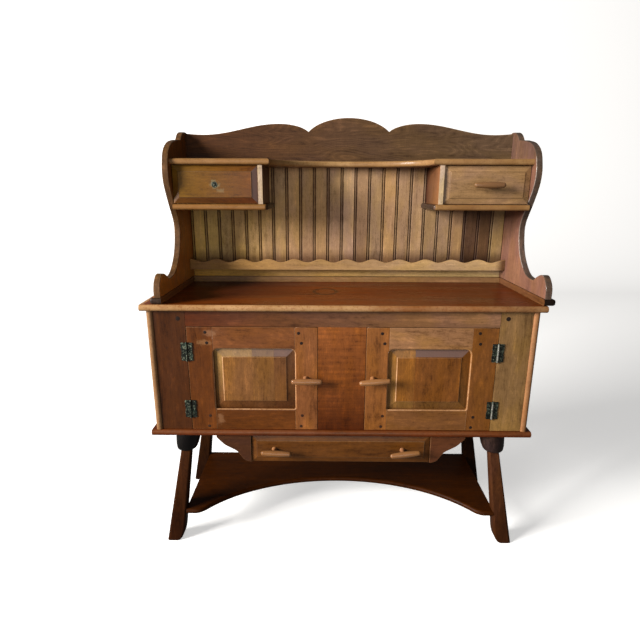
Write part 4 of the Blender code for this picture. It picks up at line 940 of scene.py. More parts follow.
class CABINET_OT_doors(StepOperator, bpy.types.Operator):
    """Join the doors' stiles and rails round their raised panels, and peg them"""
    bl_idname = "cabinet.doors"
    bl_label = "Doors"

    def make(self):
        size = sizes()
        for side, hand in SIDES:
            low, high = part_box(hand + "_door_frame")
            outer, inner = (size.hinge_stile, size.latch_stile)[::-side]
            x = (low.x + outer, high.x - inner)
            z = (low.z + size.bottom_rail, high.z - size.top_rail)
            self.boards(side, hand, x, z)
            self.panel(side, hand, x, z)
            latch, hinge = (low.x, high.x)[::side]
            latch += side * LATCH_PEG_INSET[hand]
            hinge -= side * HINGE_PEG_INSET
            places = [(latch, level) for level in LATCH_PEGS] + [(hinge, level) for level in HINGE_PEGS]
            pegs = [
                peg(at + PEG_SCATTER * math.sin(level * 900), low.y, level, size.door_peg)
                for at, level in places
            ]
            finish_piece(hand + "_door_pegs", pegs, ["peg_maple"], hand + "_door", "door")

    def boards(self, side, hand, x, z):
        """Join one door's stiles and rails round the opening between x and z."""
        low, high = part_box(hand + "_door_frame")
        slit = sizes().joint / 2
        reach = sizes().sticking + 1e-4
        stiles = ("hinge_stile", "latch_stile")[::-side]
        boards = (
            (stiles[0], low.x, x[0] - slit, low.z, high.z, UPWARDS),
            (stiles[1], x[1] + slit, high.x, low.z, high.z, UPWARDS),
            ("door_top", x[0] + slit, x[1] - slit, z[1] - 0.018, high.z, ACROSS),
            ("door_bottom", x[0] + slit, x[1] - slit, low.z, z[0] + 0.008, ACROSS),
        )

        def rubbed(at):
            """How rubbed the rounded edge of the opening is at one place; its pale colour also paints the
            highlight that light puts along it.
            """
            near = x[0] - reach < at.x < x[1] + reach and z[0] - reach < at.z < z[1] + reach
            return 0.75 if near and low.y + 0.0003 < at.y < low.y + 0.0036 else 0.0

        parts = []
        for index, (place, left, right, bottom, top, run) in enumerate(boards):
            part = block((left, low.y, bottom), (right, high.y, top))
            soften(part, pick(part, lambda at: abs(at.y - low.y) < TINY), 0.0007, 2, 0.3)
            part = carve(part, opening_tool(x, z, low.y, high.y))
            for face in part.faces:
                face.smooth = 0.05 < abs(face.normal.y) < 0.995
            mark(part, "wear_and_highlight", rubbed)
            parts.append(look(part, 31.7 + index * 1.9 + side * 7, run, TINTS["{}_{}".format(hand, place)]))
        finish_piece(
            hand + "_door_boards", parts, ["door_maple"], hand + "_door", "door", hand + "_door_frame",
        )

    def panel(self, side, hand, x, z):
        """Glue up one door's raised panel behind the opening between x and z."""
        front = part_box(hand + "_door_frame")[0].y + 0.0034
        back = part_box(hand + "_door_panel")[1].y
        low = Vector((x[0] - PANEL_REBATE, front, z[0] - PANEL_REBATE))
        high = Vector((x[1] + PANEL_REBATE, back, z[1] + PANEL_REBATE))
        border = sizes().panel_border
        reach = border + 0.0058
        seams = [x[0] + (x[1] - x[0]) * share for share in PANEL_SEAMS[hand]]

        def darkening(at):
            """How much darker the panel is close beside its frame."""
            return 0.75 if min(at.x - x[0], x[1] - at.x, at.z - z[0], z[1] - at.z) < 0.003 else 0.0

        parts = []
        for index, (upper, lower, grey) in enumerate(PANEL_SLOPES[hand]):
            # The left step of each door's field is painted as a highlight.
            part = panel_field(low, high, reach, DOOR_RISE, DOOR_SHOULDER, 0.9)
            if index > 0:
                trim(part, seams[index] + 0.00015, -1)
            if index < len(seams) - 2:
                trim(part, seams[index + 1] - 0.00015, 1)
            mark(part, "grime_and_shade", darkening)
            tint = TINTS["{}_panel_{}".format(hand, ("first", "second", "third")[index])]
            look(part, 47.3 + index * 2.3 + side * 5, UPWARDS, tint)
            # The upper slope is painted grey as a reflection of the light above it.
            mark_faces(
                part, "grey_sheen_and_shade", grey, lambda face: face.normal.z > 0.08 and middle(face).z > high.z - border,
            )
            # The slopes' tints are painted light and shade.
            fade(part, Z, high.z - reach - 0.0006, high.z - reach - 0.0001, UNTINTED, upper)
            parts.append(fade(part, Z, low.z + reach + 0.0001, low.z + reach + 0.0006, lower, UNTINTED))
        finish_piece(
            hand + "_door_field", parts, ["door_maple"], hand + "_door", "door", hand + "_door_panel",
        )


# ---- iron and pulls

# A hinge leaf's edge: distance from the pin, and share of its height.
LEAF_OUTLINE = (
    (0.0037, 0.0), (0.0171, 0.0), (0.0186, 0.05), (0.0178, 0.16), (0.0186, 0.27), (0.0178, 0.36),
    (0.0168, 0.5), (0.0178, 0.64), (0.0186, 0.73), (0.0178, 0.84), (0.0186, 0.95), (0.0171, 1.0),
    (0.0037, 1.0),
)
PIN_TIP = ((0.0, 0.0), (0.0022, 0.0), (0.0024, 0.0009), (0.0016, 0.0022), (0.0, 0.0030))
NAILS = ((0.0136, 0.085), (0.0078, 0.5), (0.0136, 0.915))


class CABINET_OT_hinges(StepOperator, bpy.types.Operator):
    """Hang the doors on waisted butt hinges with nails"""
    bl_idname = "cabinet.hinges"
    bl_label = "Hinges"

    def make(self):
        for side, hand in SIDES:
            joint = [item for item in frame["joints"] if item["name"] == hand + "_door_hinge"][0]
            at = Vector(joint["pos_m"])
            for level in ("lower", "upper"):
                low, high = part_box("{}_door_hinge_{}".format(hand, level))
                self.leaf(hand, level, "door", at, -side, low.z, high.z)
                self.leaf(hand, level, "frame", at, side, low.z, high.z)

    def leaf(self, hand, level, owner, at, outward, low, high):
        """One leaf with its knuckles and its nails."""
        tall = high - low
        back = at.y + 0.0032
        front = back - 0.0022
        knuckle = tall / 3
        part = plate([(at.x + outward * u, low + tall * v) for u, v in LEAF_OUTLINE], Y, front, back)
        soften_all(part, 0.0004, 0.5)
        parts = [look(part, low, UPWARDS)]
        spans = ((low + knuckle + 0.0002, low + 2 * knuckle - 0.0002),)
        if owner == "frame":
            spans = ((low, low + knuckle - 0.0002), (low + 2 * knuckle + 0.0002, high))
        for start, end in spans:
            profile = (
                (0.0, start), (0.0028, start), (0.0031, start + 0.0004), (0.0031, end - 0.0004),
                (0.0028, end), (0.0, end),
            )
            part = turned(profile, Z, (at.x, at.y, 0.0), 20)
            # The right hinges' knuckles take the pale iron, painted as highlights.
            second_finish(part, lambda place: hand == "right")
            parts.append(look(part, low, UPWARDS))
            left, right = sorted((at.x, at.x + outward * 0.0042))
            parts.append(look(block((left, front, start), (right, back, end)), low, UPWARDS))
        if owner == "frame":
            for tip, way in ((low, -1), (high, 1)):
                profile = [(radius, tip + way * rise) for radius, rise in PIN_TIP]
                parts.append(look(turned(profile, Z, (at.x, at.y, 0.0), 16), low, UPWARDS))
        radius = sizes().nail
        profile = (
            (0.0, 0.0006), (radius, 0.0006), (radius, 0.0), (radius * 0.8, -0.0005),
            (radius * 0.4, -0.0008), (0.0, -0.0009),
        )
        for u, v in NAILS:
            part = turned(profile, Y, (at.x + outward * u, front, low + tall * v), 14)
            parts.append(look(part, low + u, UPWARDS))
        finish_piece(
            "{}_{}_leaf_{}".format(hand, owner, level), parts, ["bronzed_iron", "highlit_iron"],
            "case" if owner == "frame" else hand + "_door", "bronze",
            "{}_{}_hinge_{}".format(hand, owner, level),
        )


# Node, piece, tilt in degrees, offset of the bar from its post, body, and whether it turns.
PULLS = (
    ("left_latch_handle", "left_latch_pull_turned", 0.0, 0.0045, "left_latch", True),
    ("right_latch_handle", "right_latch_pull_turned", -5.0, 0.0045, "right_latch", True),
    ("lower_drawer_pull_left", "lower_drawer_pull_left_turned", 2.4, 0.0080, "lower_drawer", False),
    ("lower_drawer_pull_right", "lower_drawer_pull_right_turned", -8.0, 0.0060, "lower_drawer", False),
    ("upper_right_pull", "upper_drawer_pull_turned", 0.0, 0.0, "upper_right_drawer", False),
)
BAR_HALF, BAR_INSET, BAR_STANDOFF = 0.049, 0.0074, 0.028
POST_PROFILE = (
    (0.0, -0.026), (0.0060, -0.026), (0.0062, -0.020), (0.0060, -0.014), (0.0066, -0.008),
    (0.0082, -0.003), (0.0090, -0.0004),
)
SPINDLE_PROFILE = ((0.0050, -0.0002), (0.0048, 0.0005), (0.0048, 0.031), (0.0, 0.031))


class CABINET_OT_pulls(StepOperator, bpy.types.Operator):
    """Turn the pulls and their posts"""
    bl_idname = "cabinet.pulls"
    bl_label = "Pulls"

    def make(self):
        size = sizes()
        half = BAR_HALF - size.pull_end
        profile = [(0.0, half + size.pull_end)]
        for angle in (15, 30, 45, 60, 75):
            turn = math.radians(angle)
            profile.append((size.pull_end * math.sin(turn), half + size.pull_end * math.cos(turn)))
        for step in range(11):
            share = 1 - step / 10
            swell = (size.pull_swell - size.pull_end) * (1 - share ** 2)
            profile.append((size.pull_end + swell, half * share))
        profile += [(radius, -along) for radius, along in reversed(profile[:-1])]
        for node, name, tilt, offset, body, turns in PULLS:
            low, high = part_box(node)
            x, z = (low.x + high.x) / 2, (low.z + high.z) / 2
            bar_y = low.y + BAR_INSET
            bar = turned(profile, X, (0, 0, 0), 24)
            place = Matrix.Translation((x + offset, bar_y, z)) @ Matrix.Rotation(math.radians(tilt), 4, "Y")
            bmesh.ops.transform(bar, matrix=place, verts=bar.verts)
            look(bar, 60 + x, ACROSS, PULL_TINTS.get(body, UNTINTED))
            post = [*POST_PROFILE, *(SPINDLE_PROFILE if turns else ((0.0, -0.0003),))]
            post = turned(post, Y, (x, bar_y + BAR_STANDOFF, z), 24)
            look(post, 62 + x, FRONT_TO_BACK, (1.05, 1.0, 1.0))
            finish_piece(name, [bar, post], ["pull_maple"], body, "pull", node)


# ---- stand

LEG_TOP, LEG_FOOT, LEG_DEPTH = 0.056, 0.033, 0.046
FOOT_CURVE_HEIGHT, FOOT_CURVE_INSET = 0.046, 0.018
LEG_X, LEG_SPLAY = 0.560, 0.0625 / 0.4
LEG_Y, LEG_LEAN = 0.034, 0.021 / 0.4
CASE_DEPTH, CASE_FRONT = 0.430, 0.2073
STAND_SHIFT = {-1: 0.0140, 1: 0.0105}
SOCKET_FOOT = 0.0215
SOCKET_WALL = (
    (0.0365, 0.020), (0.0390, 0.040), (0.0416, 0.0625), (0.0412, 0.0637), (0.0, 0.0637),
)


def at_corner(x, y, z, side, rear):
    """Move a point beside a front right leg's splayed middle line to the leg at a corner."""
    x += LEG_X - LEG_SPLAY * z
    y += LEG_Y + LEG_LEAN * z
    return Vector((side * x - STAND_SHIFT[side], (CASE_DEPTH - y if rear else y) - CASE_FRONT, z))


class CABINET_OT_legs(StepOperator, bpy.types.Operator):
    """Shape the splayed legs and turn the dark sockets that hold them"""
    bl_idname = "cabinet.legs"
    bl_label = "Legs"

    def make(self):
        for rear, place in ((False, "front"), (True, "rear")):
            for side, hand in SIDES:
                spot = "{}_{}".format(place, hand)
                seed = 70 + side * 3 + (5 if rear else 0)
                self.leg(side, rear, spot, seed)
                self.socket(side, rear, spot, seed + 1)

    def leg(self, side, rear, spot, seed):
        """Shape one leg, curved at the inner side of its foot."""
        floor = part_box("socket_" + spot)[0].z
        part = block((-0.5, -0.5, 0.0), (0.5, 0.5, 1.0))
        upright = pick(part, lambda at: abs(at.z - 0.5) < 0.1)
        bmesh.ops.bevel(
            part, geom=upright, offset=0.16, offset_type="OFFSET", segments=3, profile=0.5, affect="EDGES",
            material=-1, clamp_overlap=True,
        )
        cut(part, Z, (0.01, 0.03, 0.06, 0.1, 0.14, 0.3, 0.45, 0.6, 0.75, 0.9))
        part.normal_update()
        for face in part.faces:
            face.smooth = abs(face.normal.z) < 0.5
        for vert in part.verts:
            u, v, share = vert.co
            z = share * floor
            rise = min(z / FOOT_CURVE_HEIGHT, 1.0)
            inset = FOOT_CURVE_INSET * (1 - math.sqrt(max(0.0, 1 - (1 - rise) ** 2)))
            x = u * (LEG_TOP + (LEG_FOOT - LEG_TOP) * share)
            if u < 0:
                x += inset * min(1.0, -u * 2)
            y = v * (LEG_DEPTH + (LEG_FOOT - LEG_DEPTH) * share)
            vert.co = at_corner(x, y, z, side, rear)
        bmesh.ops.recalc_face_normals(part, faces=part.faces[:])
        soften(part, pick(part, lambda at: at.z < 0.0001), 0.0012, 2, 0.3)
        look(part, seed, UPWARDS, TINTS.get("leg_" + spot, TINTS["leg_rear"]))
        fade(part, Z, 0.04, 0.34, (0.80, 0.74, 0.62), (1.55, 1.65, 1.90))
        finish_piece("leg_" + spot + "_shaped", [part], ["leg_maple"], "case", "leg", "leg_" + spot)

    def socket(self, side, rear, spot, seed):
        """Turn one socket, and lean it with its leg."""
        rim = sizes().socket_round
        profile = [(0.0, 0.0), (SOCKET_FOOT, 0.0)]
        for step in range(1, 7):
            turn = math.pi / 2 * step / 6
            profile.append((SOCKET_FOOT + rim * math.sin(turn), rim * (1 - math.cos(turn))))
        part = turned([*profile, *SOCKET_WALL], Z, (0, 0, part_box("socket_" + spot)[0].z), 40)
        for vert in part.verts:
            vert.co = at_corner(*vert.co, side, rear)
        look(part, seed, UPWARDS, TINTS["socket_right" if side > 0 else "socket_left"])
        finish_piece("socket_" + spot + "_turned", [part], ["end_grain"], "case", "socket", "socket_" + spot)


LOBE_START, LOBE_END, LOBE_ROUND = 0.470, 0.4925, 0.0225
ARCH_RADIUS, ARCH_DEPTH = 0.520, 0.196


class CABINET_OT_lower_shelf(StepOperator, bpy.types.Operator):
    """Saw the lower shelf with its arch and its two lobes"""
    bl_idname = "cabinet.lower_shelf"
    bl_label = "Lower shelf"

    def make(self):
        low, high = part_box("lower_shelf")
        centre = (low.x + high.x) / 2
        end = (high.x - low.x) / 2 - 0.001
        full = math.sqrt(1 - (LOBE_START / ARCH_RADIUS) ** 2)
        half = []
        for step in range(25):
            x = (LOBE_START - LOBE_ROUND) * step / 24
            fall = (math.sqrt(1 - (x / ARCH_RADIUS) ** 2) - full) / (1 - full)
            half.append((x, low.y + ARCH_DEPTH * fall))
        start, corner, lobe = Vector(half[-1]), Vector((LOBE_START, low.y)), Vector((LOBE_END, low.y))
        for step in range(1, 9):
            t = step / 8
            half.append(tuple((1 - t) ** 2 * start + 2 * t * (1 - t) * corner + t ** 2 * lobe))
        right = half + [(end, low.y), (end, high.y)]
        outline = [(centre + x, y) for x, y in right] + [(centre - x, y) for x, y in reversed(right[1:])]
        part = sawn_board(outline, Z, low, high)
        front = pick(part, lambda at: at.y < high.y - 0.01 and abs(at.x - centre) < end - 0.001, Z)
        soften(part, front, 0.0086, 6)
        look(part, 80.4, ACROSS, TINTS["lower_shelf"])
        finish_piece("lower_shelf_board", [part], ["leg_maple"], "case", "leg", "lower_shelf")


BRACKET_SWEEP = ((1.0, 0.10), (0.77, 0.37), (0.44, 0.59), (0.33, 0.74), (0.20, 0.93), (0.04, 1.0))


class CABINET_OT_lower_drawer(StepOperator, bpy.types.Operator):
    """Make the drawer under the case and the sawn brackets beside it"""
    bl_idname = "cabinet.lower_drawer"
    bl_label = "Lower drawer"

    def make(self):
        part = panel_field(
            *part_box("lower_drawer_front"), sizes().drawer_border, DRAWER_RISE, DRAWER_SHOULDER,
        )
        look(part, 90.3, ACROSS, TINTS["lower_drawer"])
        finish_piece("lower_drawer_face", [part], ["case_maple"], "lower_drawer", "case", "lower_drawer_front")
        for side, hand in SIDES:
            node = "bracket_" + hand
            low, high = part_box(node)
            inner, outer = (low.x, high.x)[::side]
            tall = high.z - low.z
            sweep = [(inner + (outer - inner) * u, high.z - tall * v) for u, v in BRACKET_SWEEP]
            outline = [(inner, high.z), (outer, high.z), *smooth_curve(sweep, 8), (inner, low.z)]
            part = sawn_board(outline, Y, low, high)
            soften_all(part, 0.0012, 0.3)
            look(part, 95.0 + side, ACROSS, TINTS[node])
            finish_piece("bracket_{}_sawn".format(hand), [part], ["case_maple"], "case", "case", node)


# ---- hutch

# A scrolled side's front edge, as shares of its depth and its height, and the steps of each curve.
SIDE_DEPTH, SIDE_HEIGHT = 0.403, 0.505
SIDE_CURVES = (
    (5, (
        (0.0, 0.0), (0.0, 0.052), (0.022, 0.093), (0.072, 0.128), (0.127, 0.128), (0.187, 0.107),
        (0.236, 0.082),
    )),
    (5, (
        (0.285, 0.082), (0.385, 0.096), (0.475, 0.143), (0.556, 0.217), (0.603, 0.317),
        (0.603, 0.408), (0.516, 0.515), (0.431, 0.628), (0.406, 0.703), (0.416, 0.772),
        (0.461, 0.850), (0.560, 0.903), (0.697, 0.929), (0.816, 0.939),
    )),
    (3, ((0.836, 0.957), (0.871, 0.980), (0.921, 0.996), (0.975, 1.0), (1.0, 1.0))),
)


class CABINET_OT_hutch_sides(StepOperator, bpy.types.Operator):
    """Saw the hutch's scrolled sides"""
    bl_idname = "cabinet.hutch_sides"
    bl_label = "Hutch sides"

    def make(self):
        for side, hand in SIDES:
            low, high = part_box("hutch_side_" + hand)
            outline = []
            for steps, points in SIDE_CURVES:
                placed = [(high.y - SIDE_DEPTH * (1 - u), low.z + SIDE_HEIGHT * v) for u, v in points]
                outline += smooth_curve(placed, steps)
            part = plate([*outline, (high.y, low.z)], X, low.x, high.x)
            soften(part, pick(part, lambda at: True, X), 0.0028, 3)
            part.normal_update()
            rim = [face for face in part.faces if abs(face.normal.x) < 0.93 and middle(face).y < high.y - 0.004]
            for face in rim:
                face.material_index = 1
                face.smooth = True
            mark_faces(part, "wear_and_highlight", 0.06 if side < 0 else 0.12, lambda face: face in rim)
            if side > 0:
                # A pale line painted as a highlight along the right side's inner arris.
                mark_faces(part, "wear_and_highlight", 0.6, lambda face: face in rim and self.lined(middle(face), low.x))
            cut(part, Z, (0.90, 1.00, 1.10, 1.20, 1.24, 1.28))
            look(part, 100.5 + side * 2, UPWARDS, TINTS["hutch_" + hand])
            # Painted light and shade: the left side is painted lighter low down, where it lies in shade, and
            # the right side lighter below its top and darker at the top.
            if side < 0:
                fade(part, Z, 0.90, 1.20, (2.00, 2.05, 2.20), (0.90, 0.80, 0.70))
            else:
                fade(part, Z, 1.24, 1.28, (1.20, 1.12, 1.05), (0.80, 0.84, 0.80))
            # The left side's edges take the copy of the edge finish painted as lit by the light from the left.
            edge = "scroll_edge" if side > 0 else "lit_edge"
            finish_piece(
                "scrolled_side_" + hand, [part], ["hutch_maple", edge], "case", "hutch", "hutch_side_" + hand,
            )

    def lined(self, at, inner):
        """Whether a place on the right side's edge lies on the pale line painted as a highlight along its inner
        arris.
        """
        return abs(at.x - inner) < 0.0026 and 0.92 < at.z < 1.27


SHOE_WIDTH = 0.035
SCALLOPS = 12


class CABINET_OT_hutch_base(StepOperator, bpy.types.Operator):
    """Fit the hutch's shoes, its rear rail, the riser, the ledge and the scalloped rail"""
    bl_idname = "cabinet.hutch_base"
    bl_label = "Hutch base"

    def make(self):
        low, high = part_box("hutch_base_frame")
        parts = []
        for side, hand in SIDES:
            inner, outer = (high.x - SHOE_WIDTH, high.x) if side > 0 else (low.x + SHOE_WIDTH, low.x)
            part = block((min(outer, inner), low.y, low.z), (max(outer, inner), high.y, high.z))
            soften(part, pick(part, lambda at: at.y < high.y - 0.001 and abs(at.x - inner) > 0.002), 0.0075, 5)
            second_finish(part, lambda at: at.y < low.y + 0.0095 or abs(at.x - inner) > 0.020)
            parts.append(look(part, 110.0 + side, FRONT_TO_BACK, TINTS["shoe_" + hand]))
        part = block((low.x + 0.0353, high.y - 0.027, low.z), (high.x - 0.0353, high.y, high.z))
        soften(part, part.edges[:], sizes().arris, 2, 0.2)
        parts.append(look(part, 113.0, ACROSS, TINTS["rear_rail"]))
        finish_piece("hutch_shoes", parts, ["hutch_maple", "end_grain"], "case", "hutch", "hutch_base_frame")
        for node, seed, tint, wear_and_highlight, name in (
            ("riser_board", 115.0, "riser", 0.2, "riser_face"),
            ("spice_ledge", 117.0, "ledge", 0.5, "ledge_board"),
        ):
            part = simple_board(node, seed, ACROSS, TINTS[tint], wear_and_highlight)
            fade_along(part, X, node, (0.88, 0.72, 0.38), (0.80, 0.90, 1.33))
            finish_piece(name, [part], ["bead_maple"], "case", "bead", node)
        self.gallery()

    def gallery(self):
        """Saw the scalloped rail, dark at its right end."""
        low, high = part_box("scalloped_rail")
        wide = high.x - low.x
        steps = SCALLOPS * 14
        outline = [(low.x, low.z), (high.x, low.z)]
        for step in range(steps + 1):
            share = step / steps
            wave = 0.0058 * math.cos(math.tau * SCALLOPS * (share - 0.5))
            outline.append((high.x - wide * share, low.z + 0.0322 + wave))
        part = sawn_board(outline, Y, low, high)
        soften(part, pick(part, lambda at: at.z > low.z + 0.02, Y), 0.0012, 2, 0.6)
        cut(part, X, [low.x + wide * index / SCALLOPS for index in range(1, SCALLOPS)])
        cut(part, X, (high.x - 0.036, high.x - 0.010))
        look(part, 119.0, ACROSS, TINTS["gallery"])
        fade_along(part, X, "scalloped_rail", (0.76, 0.62, 0.42), (1.05, 1.12, 1.30))
        fade(part, X, high.x - 0.036, high.x - 0.010, UNTINTED, (0.26, 0.18, 0.15))
        finish_piece("scalloped_gallery", [part], ["bead_maple"], "case", "bead", "scalloped_rail")


BACK_BOARDS = 23
BEAD_DEPTH = 0.0030
# How light each run of boards is painted, up to the board before each number: the left ones, which lie in
# shade, lighter, and the right ones darker.
BACK_LIGHTNESS = ((8, 1.75), (12, 1.55), (17, 1.05), (BACK_BOARDS, 0.82))
BACK_SHADOW, CREST_SHADOW = (0.024, 0.060), (0.034, 0.008)


class CABINET_OT_back_boards(StepOperator, bpy.types.Operator):
    """Plane the beaded boards of the hutch's back"""
    bl_idname = "cabinet.back_boards"
    bl_label = "Back boards"

    def make(self):
        size = sizes()
        low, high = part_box("beadboard_back")
        pitch = (high.x - low.x) / BACK_BOARDS
        deep = low.y + BEAD_DEPTH
        bead = size.bead / 2 - size.groove * 0.55
        lower = [low.z + rise for rise in BACK_SHADOW]
        upper = [high.z - fall for fall in CREST_SHADOW]
        chance = random.Random(12)
        parts = []
        for index in range(BACK_BOARDS):
            left, right = low.x + pitch * index - (0.0001 if index else 0.0), low.x + pitch * (index + 1)
            bead_end = left + size.bead
            outline = [(left, high.y), (left, deep)]
            for step in range(7):
                turn = math.pi * step / 6
                swell = BEAD_DEPTH * math.sin(turn) ** 0.7
                outline.append((left + size.bead / 2 - bead * math.cos(turn), deep - swell))
            outline += [
                (bead_end, deep), (bead_end + size.groove, low.y), (right - size.groove, low.y),
                (right, deep), (right, high.y),
            ]
            part = plate(outline, Z, low.z, high.z)

            def darkening(at):
                """How much darker a board is at one place, mostly in its grooves."""
                if at.y > high.y - 0.0001:
                    return 0.2
                if at.y > deep - 0.0005:
                    return 1.0
                return 0.5 if at.x < bead_end else 0.0

            cut(part, Z, (*lower, *upper))
            mark(part, "grime_and_shade", darkening)
            look(part, 130 + index * 1.37, UPWARDS, self.tint(index, chance))
            # Painted shadow at each board's foot above the ledge and, two lines down, at its top under the top
            # shelf.
            fade(part, Z, *lower, (0.42, 0.36, 0.34), UNTINTED)
            # The middle boards are painted darker low down and lighter higher up, against the patch of light
            # that falls low on them.
            if 4 < index < 13:
                fade(part, Z, lower[1], upper[0], (0.84, 0.82, 0.88), (1.13, 1.16, 1.18))
            parts.append(fade(part, Z, *upper, UNTINTED, (0.45, 0.38, 0.34)))
        finish_piece("beaded_boards", parts, ["bead_maple"], "case", "bead", "beadboard_back")

    def tint(self, index, chance):
        """One board's tint: painted lighter at the left, where the boards lie in shade, and greener there, with
        two dark boards near the right end.
        """
        value = chance.uniform(0.94, 1.07) * next(level for end, level in BACK_LIGHTNESS if index < end)
        warm = chance.uniform(-0.04, 0.03)
        olive = 0.08 if index == 22 else max(0.0, 0.19 - 0.02 * index)
        tone = (value * (1 + warm - olive * 0.3), value, value * (1 - warm * 2 - olive * 2.2))
        if index in (20, 21):
            tone = (0.26, 0.22, 0.22)
        return [base * share for base, share in zip(TINTS["back_boards"], tone)]


# The crest's arcs from its middle to its end: start, end and steps.
CREST_ARCS = ((0.0, 0.140, 14), (0.140, 0.242, 10), (0.242, 0.505, 18))


def crest_height(x):
    """The crest's height above the top shelf at one distance from its middle."""
    if x < 0.140:
        return 0.145 - 0.087 * (1 - math.sqrt(1 - (x / 0.160) ** 2))
    if x < 0.242:
        return 0.126 - 0.044 * (1 - math.sqrt(1 - ((0.242 - x) / 0.112) ** 2))
    if x < 0.505:
        return 0.108 + 0.018 * math.cos(math.pi * (x - 0.242) / 0.263)
    return 0.090 + 0.004 * ((x - 0.505) / 0.065) ** 2


class CABINET_OT_crest(StepOperator, bpy.types.Operator):
    """Saw the shaped crest board"""
    bl_idname = "cabinet.crest"
    bl_label = "Crest"

    def make(self):
        low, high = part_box("crest_board")
        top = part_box("top_shelf")[1].z
        centre = (low.x + high.x) / 2
        wide = (high.x - low.x) / 2
        places = []
        for start, end, steps in (*CREST_ARCS, (0.505, wide, 4)):
            places += [start + (end - start) * step / steps for step in range(steps)]
        half = [(x, top + crest_height(x)) for x in [*places, wide]]
        outline = [(centre + x, z) for x, z in half] + [(centre + wide, low.z), (centre - wide, low.z)]
        outline += [(centre - x, z) for x, z in reversed(half[1:])]
        part = sawn_board(outline, Y, low, high)
        soften(part, pick(part, lambda at: at.z > top + 0.05, Y), 0.0018, 2, 0.3)
        look(part, 163.0, ACROSS, TINTS["crest"])
        fade_along(part, X, "crest_board", (0.73, 0.53, 0.26), (1.34, 1.88, 3.20))
        finish_piece("crest_board_sawn", [part], ["crest_maple"], "case", "crest", "crest_board")


RECESS_HALF, RECESS_DEPTH = 0.258, 0.165
FREE_CORNER = 0.012


class CABINET_OT_top_shelf(StepOperator, bpy.types.Operator):
    """Make the top shelf, the boards under the small drawers and the dividers"""
    bl_idname = "cabinet.top_shelf"
    bl_label = "Top shelf"

    def make(self):
        low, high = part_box("top_shelf")
        centre = (low.x + high.x) / 2
        outline = [(low.x, low.y), (low.x, high.y), (high.x, high.y), (high.x, low.y)]
        for step in range(41):
            turn = math.pi * step / 40
            outline.append((centre + RECESS_HALF * math.cos(turn), low.y + RECESS_DEPTH * math.sin(turn)))
        part = sawn_board(outline, Z, low, high)
        nose = pick(part, lambda at: at.y < high.y - 0.005 and abs(at.x - centre) < 0.5690, Z)
        soften(part, nose, 0.0075, 6)
        mark(part, "wear_and_highlight", lambda at: self.on_nose(at, low, centre))
        look(part, 171.0, ACROSS, TINTS["top_shelf"])
        fade_along(part, X, "top_shelf", (0.92, 0.88, 0.70), (0.98, 1.07, 1.32))
        finish_piece("top_shelf_board", [part], ["shelf_maple"], "case", "hutch", "top_shelf")
        for side, hand in SIDES:
            self.drawer_shelf(side, hand)
            self.divider(side, hand)

    def on_nose(self, at, low, centre):
        """How rubbed the shelf is at one place near its front edge; the left half of the recess is painted pale
        all over as a highlight.
        """
        away = abs(at.x - centre)
        if at.y < low.y + 0.0065:
            return 0.62 if at.x > 0 else 0.40
        if away < RECESS_HALF:
            edge = low.y + RECESS_DEPTH * math.sqrt(1 - (away / RECESS_HALF) ** 2)
            return (0.52 if at.x > centre else 1.0) if at.y < edge + 0.012 else 0.0
        return 0.0

    def drawer_shelf(self, side, hand):
        """The board under one small drawer, rounded at its free front corner."""
        low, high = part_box("drawer_board_" + hand)
        free, outer = (low.x, high.x)[::side]
        outline = []
        for step in range(9):
            turn = math.pi / 2 * step / 8
            outline.append((
                free + side * FREE_CORNER * (1 - math.cos(turn)), low.y + FREE_CORNER * (1 - math.sin(turn)),
            ))
        outline += [(outer, low.y), (outer, high.y), (free, high.y)]
        part = sawn_board(outline, Z, low, high)
        soften(part, pick(part, lambda at: at.y < high.y - 0.005 and abs(at.x - outer) > 0.002, Z), 0.0070, 6)
        wear_and_highlight = 0.7 if side > 0 else 0.35
        mark(part, "wear_and_highlight", lambda at: wear_and_highlight if at.y < low.y + 0.006 else 0.0)
        second_finish(part, lambda at: abs(at.x - free) < 0.0075)
        look(part, 175.0 + side, ACROSS, TINTS["drawer_shelf_" + hand])
        finish_piece(
            "drawer_shelf_" + hand, [part], ["hutch_maple", "end_grain"], "case", "hutch",
            "drawer_board_" + hand,
        )

    def divider(self, side, hand):
        """The upright board beside one small drawer, with a pale bare front edge that also paints the highlight
        on it.
        """
        node = "divider_" + hand
        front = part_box(node)[0].y
        part = simple_board(node, 178.0 + side, UPWARDS, TINTS["divider"], 0.3)
        # The right divider's inner face is painted light near the front, where light falls on it, and dark
        # towards the back, in shade.
        if side > 0:
            fade(part, Y, front, front + 0.17, (1.95, 2.55, 2.45), (0.55, 0.55, 0.60))
        second_finish(part, lambda at: at.y < front + 0.0012)
        finish_piece("divider_board_" + hand, [part], ["hutch_maple", "bare_highlit_edge"], "case", "hutch", node)


UPPER_BORDER = 0.019
SCREW_X, SCREW_Z = -0.4172, 1.1835
WASHER_PROFILE = (
    (0.0, 0.001), (0.0095, 0.001), (0.0095, -0.0001), (0.0088, -0.0007), (0.0078, -0.0008),
    (0.0068, -0.0002), (0.0, -0.0002),
)
SCREW_PROFILE = (
    (0.0, 0.0), (0.0042, 0.0), (0.0042, -0.0010), (0.0038, -0.0018), (0.0030, -0.0023), (0.0, -0.0025),
)


